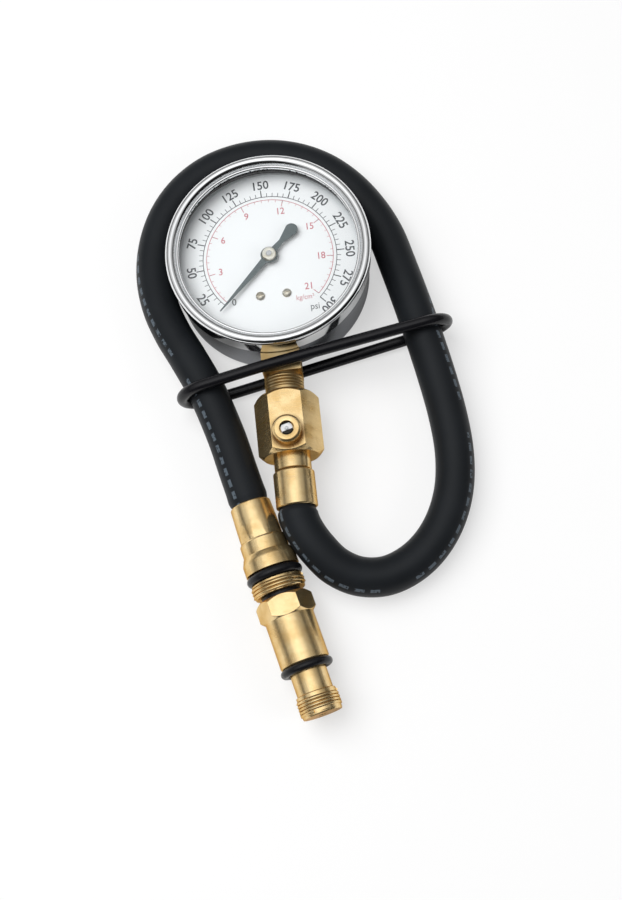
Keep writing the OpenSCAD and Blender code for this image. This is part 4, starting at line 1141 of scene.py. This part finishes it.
# %% The outer scale
BLACK_R, MINOR_R, MAJOR_R = 22.4, 23.8, 25.0
MINOR_W, MAJOR_W, ARC_W = 0.2, 0.34, 0.24
NUMBER_R, NUMBER_SIZE = 26.7, 4.3
HEADS_IN_TO = 50
step = -DEGREES_PER_PSI*PSI_STEP
third = (psi_angle(0) - psi_angle(PSI_STEP))/3
minors = (PSI_TOP - PSI_STEP)//PSI_MARK
black = [
    ticks("minor", minors, psi_angle(PSI_STEP + PSI_MARK), step*PSI_MARK/PSI_STEP, BLACK_R, MINOR_R, MINOR_W,
        ink_black),
    ticks("major", PSI_TOP//PSI_STEP, psi_angle(PSI_STEP), step, BLACK_R, MAJOR_R, MAJOR_W, ink_black),
    ticks("early", 2, psi_angle(PSI_STEP) + third, third, BLACK_R, MINOR_R, MINOR_W, ink_black),
    ticks("zero", 1, psi_angle(0), 1, BLACK_R, MAJOR_R, MAJOR_W, ink_black),
    arc_line("black_arc", BLACK_R, ARC_W, psi_angle(0), psi_angle(PSI_TOP), ink_black),
    words("n0", "0", 3.4, round_dial(19.8, 228), 0, ink_black),
    words("psi", "psi", 3.2, round_dial(23.6, -56), 0, ink_black, bold=0)]
for psi in range(PSI_STEP, PSI_TOP + 1, PSI_STEP):
    a = psi_angle(psi)
    turn = a + 90 if psi <= HEADS_IN_TO else a - 90
    black.append(words("n%d" % psi, str(psi), NUMBER_SIZE, round_dial(NUMBER_R, a), turn, ink_black,
        narrow=0.94, bold=0.06))
outer_scale = settle(merged("dial_print_black", black, ink_black), "gauge_and_hose", "pointer_dark")
print("outer scale", len(outer_scale.data.polygons), "faces")

# %% The inner scale
RED_R, RED_MINOR_R, RED_MAJOR_R = 21.2, 20.3, 19.0
RED_MINOR_W, RED_MAJOR_W, RED_ARC_W = 0.15, 0.24, 0.22
RED_NUMBER_R, RED_NUMBER_SIZE = 17.1, 3.4
step = -DEGREES_PER_KG*KG_STEP
minors = round((KG_TOP - FIRST_KG)/KG_MARK) + 1
red = [
    ticks("red_major", KG_TOP//KG_STEP, kg_angle(KG_STEP), step, RED_MAJOR_R, RED_R, RED_MAJOR_W, ink_red),
    ticks("red_minor", minors, kg_angle(FIRST_KG), step*KG_MARK/KG_STEP, RED_MINOR_R, RED_R, RED_MINOR_W,
        ink_red),
    arc_line("red_arc", RED_R, RED_ARC_W, psi_angle(0), kg_angle(KG_TOP), ink_red),
    words("kg", "kg/cm\u00b2", 2.5, (10.3, -15.9), 0, ink_red, bold=0)]
for kg in range(KG_STEP, KG_TOP + 1, KG_STEP):
    spot = round_dial(RED_NUMBER_R, kg_angle(kg))
    red.append(words("r%d" % kg, str(kg), RED_NUMBER_SIZE, spot, 0, ink_red))
inner_scale = settle(merged("dial_print_red", red, ink_red), "gauge_and_hose", "pointer_dark")
print("inner scale", len(inner_scale.data.polygons), "faces")

# %% [markdown]
# ## Table
# The table is a pale sheet. Its own colour makes it white, and not more light. Camera, glossy and
# transmission rays also get a share of plain white from it. The camera's share grows with the distance
# from the tester, so the shadow beside the hose stays, and the far table doesn't turn grey.

# %% The table
TABLE_HALF = 4
NEAR, FAR = 0.18, 0.9
NEAR_SHARE, FAR_SHARE = 0.55, 0.97
GLOSSY_SHARE, THROUGH_SHARE = 0.1, 0.5
floor_mesh = bpy.data.meshes.new("floor")
corners = ((-1, -1), (1, -1), (1, 1), (-1, 1))
floor_mesh.from_pydata([(x*TABLE_HALF, y*TABLE_HALF, 0) for x, y in corners], [], [(0, 1, 2, 3)])
placed("floor", floor_mesh)
f = Finish("floor_paper")
camera_ray, glossy_ray, through_ray = (f.node("ShaderNodeLightPath", out="Is %s Ray" % ray)
    for ray in ("Camera", "Glossy", "Transmission"))
from_aim = f.vector("DISTANCE", f.coords(), aim, out="Value")
seen = f.ramp(from_aim, NEAR, FAR, NEAR_SHARE, FAR_SHARE)
share = camera_ray*seen + glossy_ray*GLOSSY_SHARE + through_ray*THROUGH_SHARE
paper = f.mix(f.noise(f.coords(), 40), (0.82, 0.82, 0.82), (0.81, 0.81, 0.81))
lit = f.node("ShaderNodeBsdfDiffuse", {}, {"Color": paper})
plain = f.node("ShaderNodeEmission", {}, {"Color": (1, 1, 1, 1), "Strength": 1.0})
floor_mesh.materials.append(f.surface(f.node("ShaderNodeMixShader", {}, {0: share, 1: lit, 2: plain})))
print("table", 2*TABLE_HALF, "m wide")

# %% [markdown]
# ## World
# Metal has little look of its own, so it needs something to mirror. Glossy rays see a studio that is
# bright overhead, dark lower down and paler again near the table, a little brighter on the left and dark
# in front, which draws the light and dark bands on the rim and the fittings. All other light from the
# world is one even grey, and the camera sees plain white behind the table. A photographed studio would
# do too, but no picture is used here.

# %% The world
EVEN_LIGHT = 0.27
LEFT_GAIN = 0.3
FRONT_X, FRONT_Y = -0.45, 0.9
DARK_UNTIL, LIGHT_FROM = -0.5, -0.22
DARKEST = 0.06
shade_at_height = ((0.0, 0.52), (0.22, 0.40), (0.31, 0.10), (0.47, 0.08), (0.57, 0.42), (0.80, 0.62),
    (0.90, 1.1), (1.0, 1.5))
zenith = shade_at_height[-1][1]
world = bpy.data.worlds.new("studio")
bpy.context.scene.world = world
world.use_nodes = True
tree = world.node_tree
tree.nodes.clear()
direction = wired(tree, "ShaderNodeTexCoord", out="Generated")
x, y, z = (wired(tree, "ShaderNodeSeparateXYZ", {}, {0: direction}, out=way) for way in "XYZ")
shade_of = wired(tree, "ShaderNodeValToRGB", {}, {"Fac": z})
ramp = shade_of.node.color_ramp
for _ in shade_at_height[2:]:
    ramp.elements.new(0.5)
for element, (place, shade) in zip(ramp.elements, shade_at_height):
    element.position = place
    element.color = (shade/zenith, shade/zenith, shade/zenith, 1)
from_left = math_node(tree, "MULTIPLY_ADD", x, -LEFT_GAIN*zenith, zenith)
away = math_node(tree, "MULTIPLY_ADD", x, FRONT_X, math_node(tree, "MULTIPLY", y, FRONT_Y))
dark_side = wired(tree, "ShaderNodeMapRange", {"interpolation_type": "SMOOTHSTEP"},
    {"Value": away, "From Min": DARK_UNTIL, "From Max": LIGHT_FROM, "To Min": DARKEST, "To Max": 1.0})
shine = math_node(tree, "MULTIPLY", from_left, dark_side)
print("the world's ramp has", len(ramp.elements), "steps")

# %% What each kind of ray sees
def sky(color, strength):
    return wired(tree, "ShaderNodeBackground", {}, {"Color": color, "Strength": strength})


glossy_ray, camera_ray, through_ray = (wired(tree, "ShaderNodeLightPath", out="Is %s Ray" % ray)
    for ray in ("Glossy", "Camera", "Transmission"))
straight = math_node(tree, "MAXIMUM", camera_ray, through_ray)
both = wired(tree, "ShaderNodeMixShader", {}, {0: glossy_ray, 1: sky((1, 1, 1, 1), EVEN_LIGHT),
    2: sky(shade_of, shine)})
behind = wired(tree, "ShaderNodeMixShader", {}, {0: straight, 1: both, 2: sky((1, 1, 1, 1), 1.0)})
tree.links.new(behind, tree.nodes.new("ShaderNodeOutputWorld").inputs["Surface"])
print("world:", len(tree.nodes), "nodes")

# %% [markdown]
# ## Lamps
# One large lamp stands upper left and casts the soft shadow, and a small weak one fills from the right.
# They are placed from the camera's own axes, so that left stays left in the picture. Glossy rays don't
# see them, because a lamp's square would show in the chrome.

# %% The lamps
def lamp(name, at, size, power):
    """A square lamp at right, up and back of the aim, in metres, that looks at it."""
    data = bpy.data.lights.new(name, "AREA")
    data.size = size
    data.energy = power
    thing = placed(name, data)
    place = aim + at[0]*right + at[1]*up + at[2]*back
    turn = (aim - place).to_track_quat("-Z", "Y").to_matrix().to_4x4()
    thing.visible_glossy = False
    thing.matrix_world = Matrix.Translation(place) @ turn
    print(name, "at", [round(v, 2) for v in place])


lamp("key", (-0.50, 0.38, 0.88), 1.0, 14.5)
lamp("fill", (0.7, -0.1, 0.6), 0.4, 1.5)
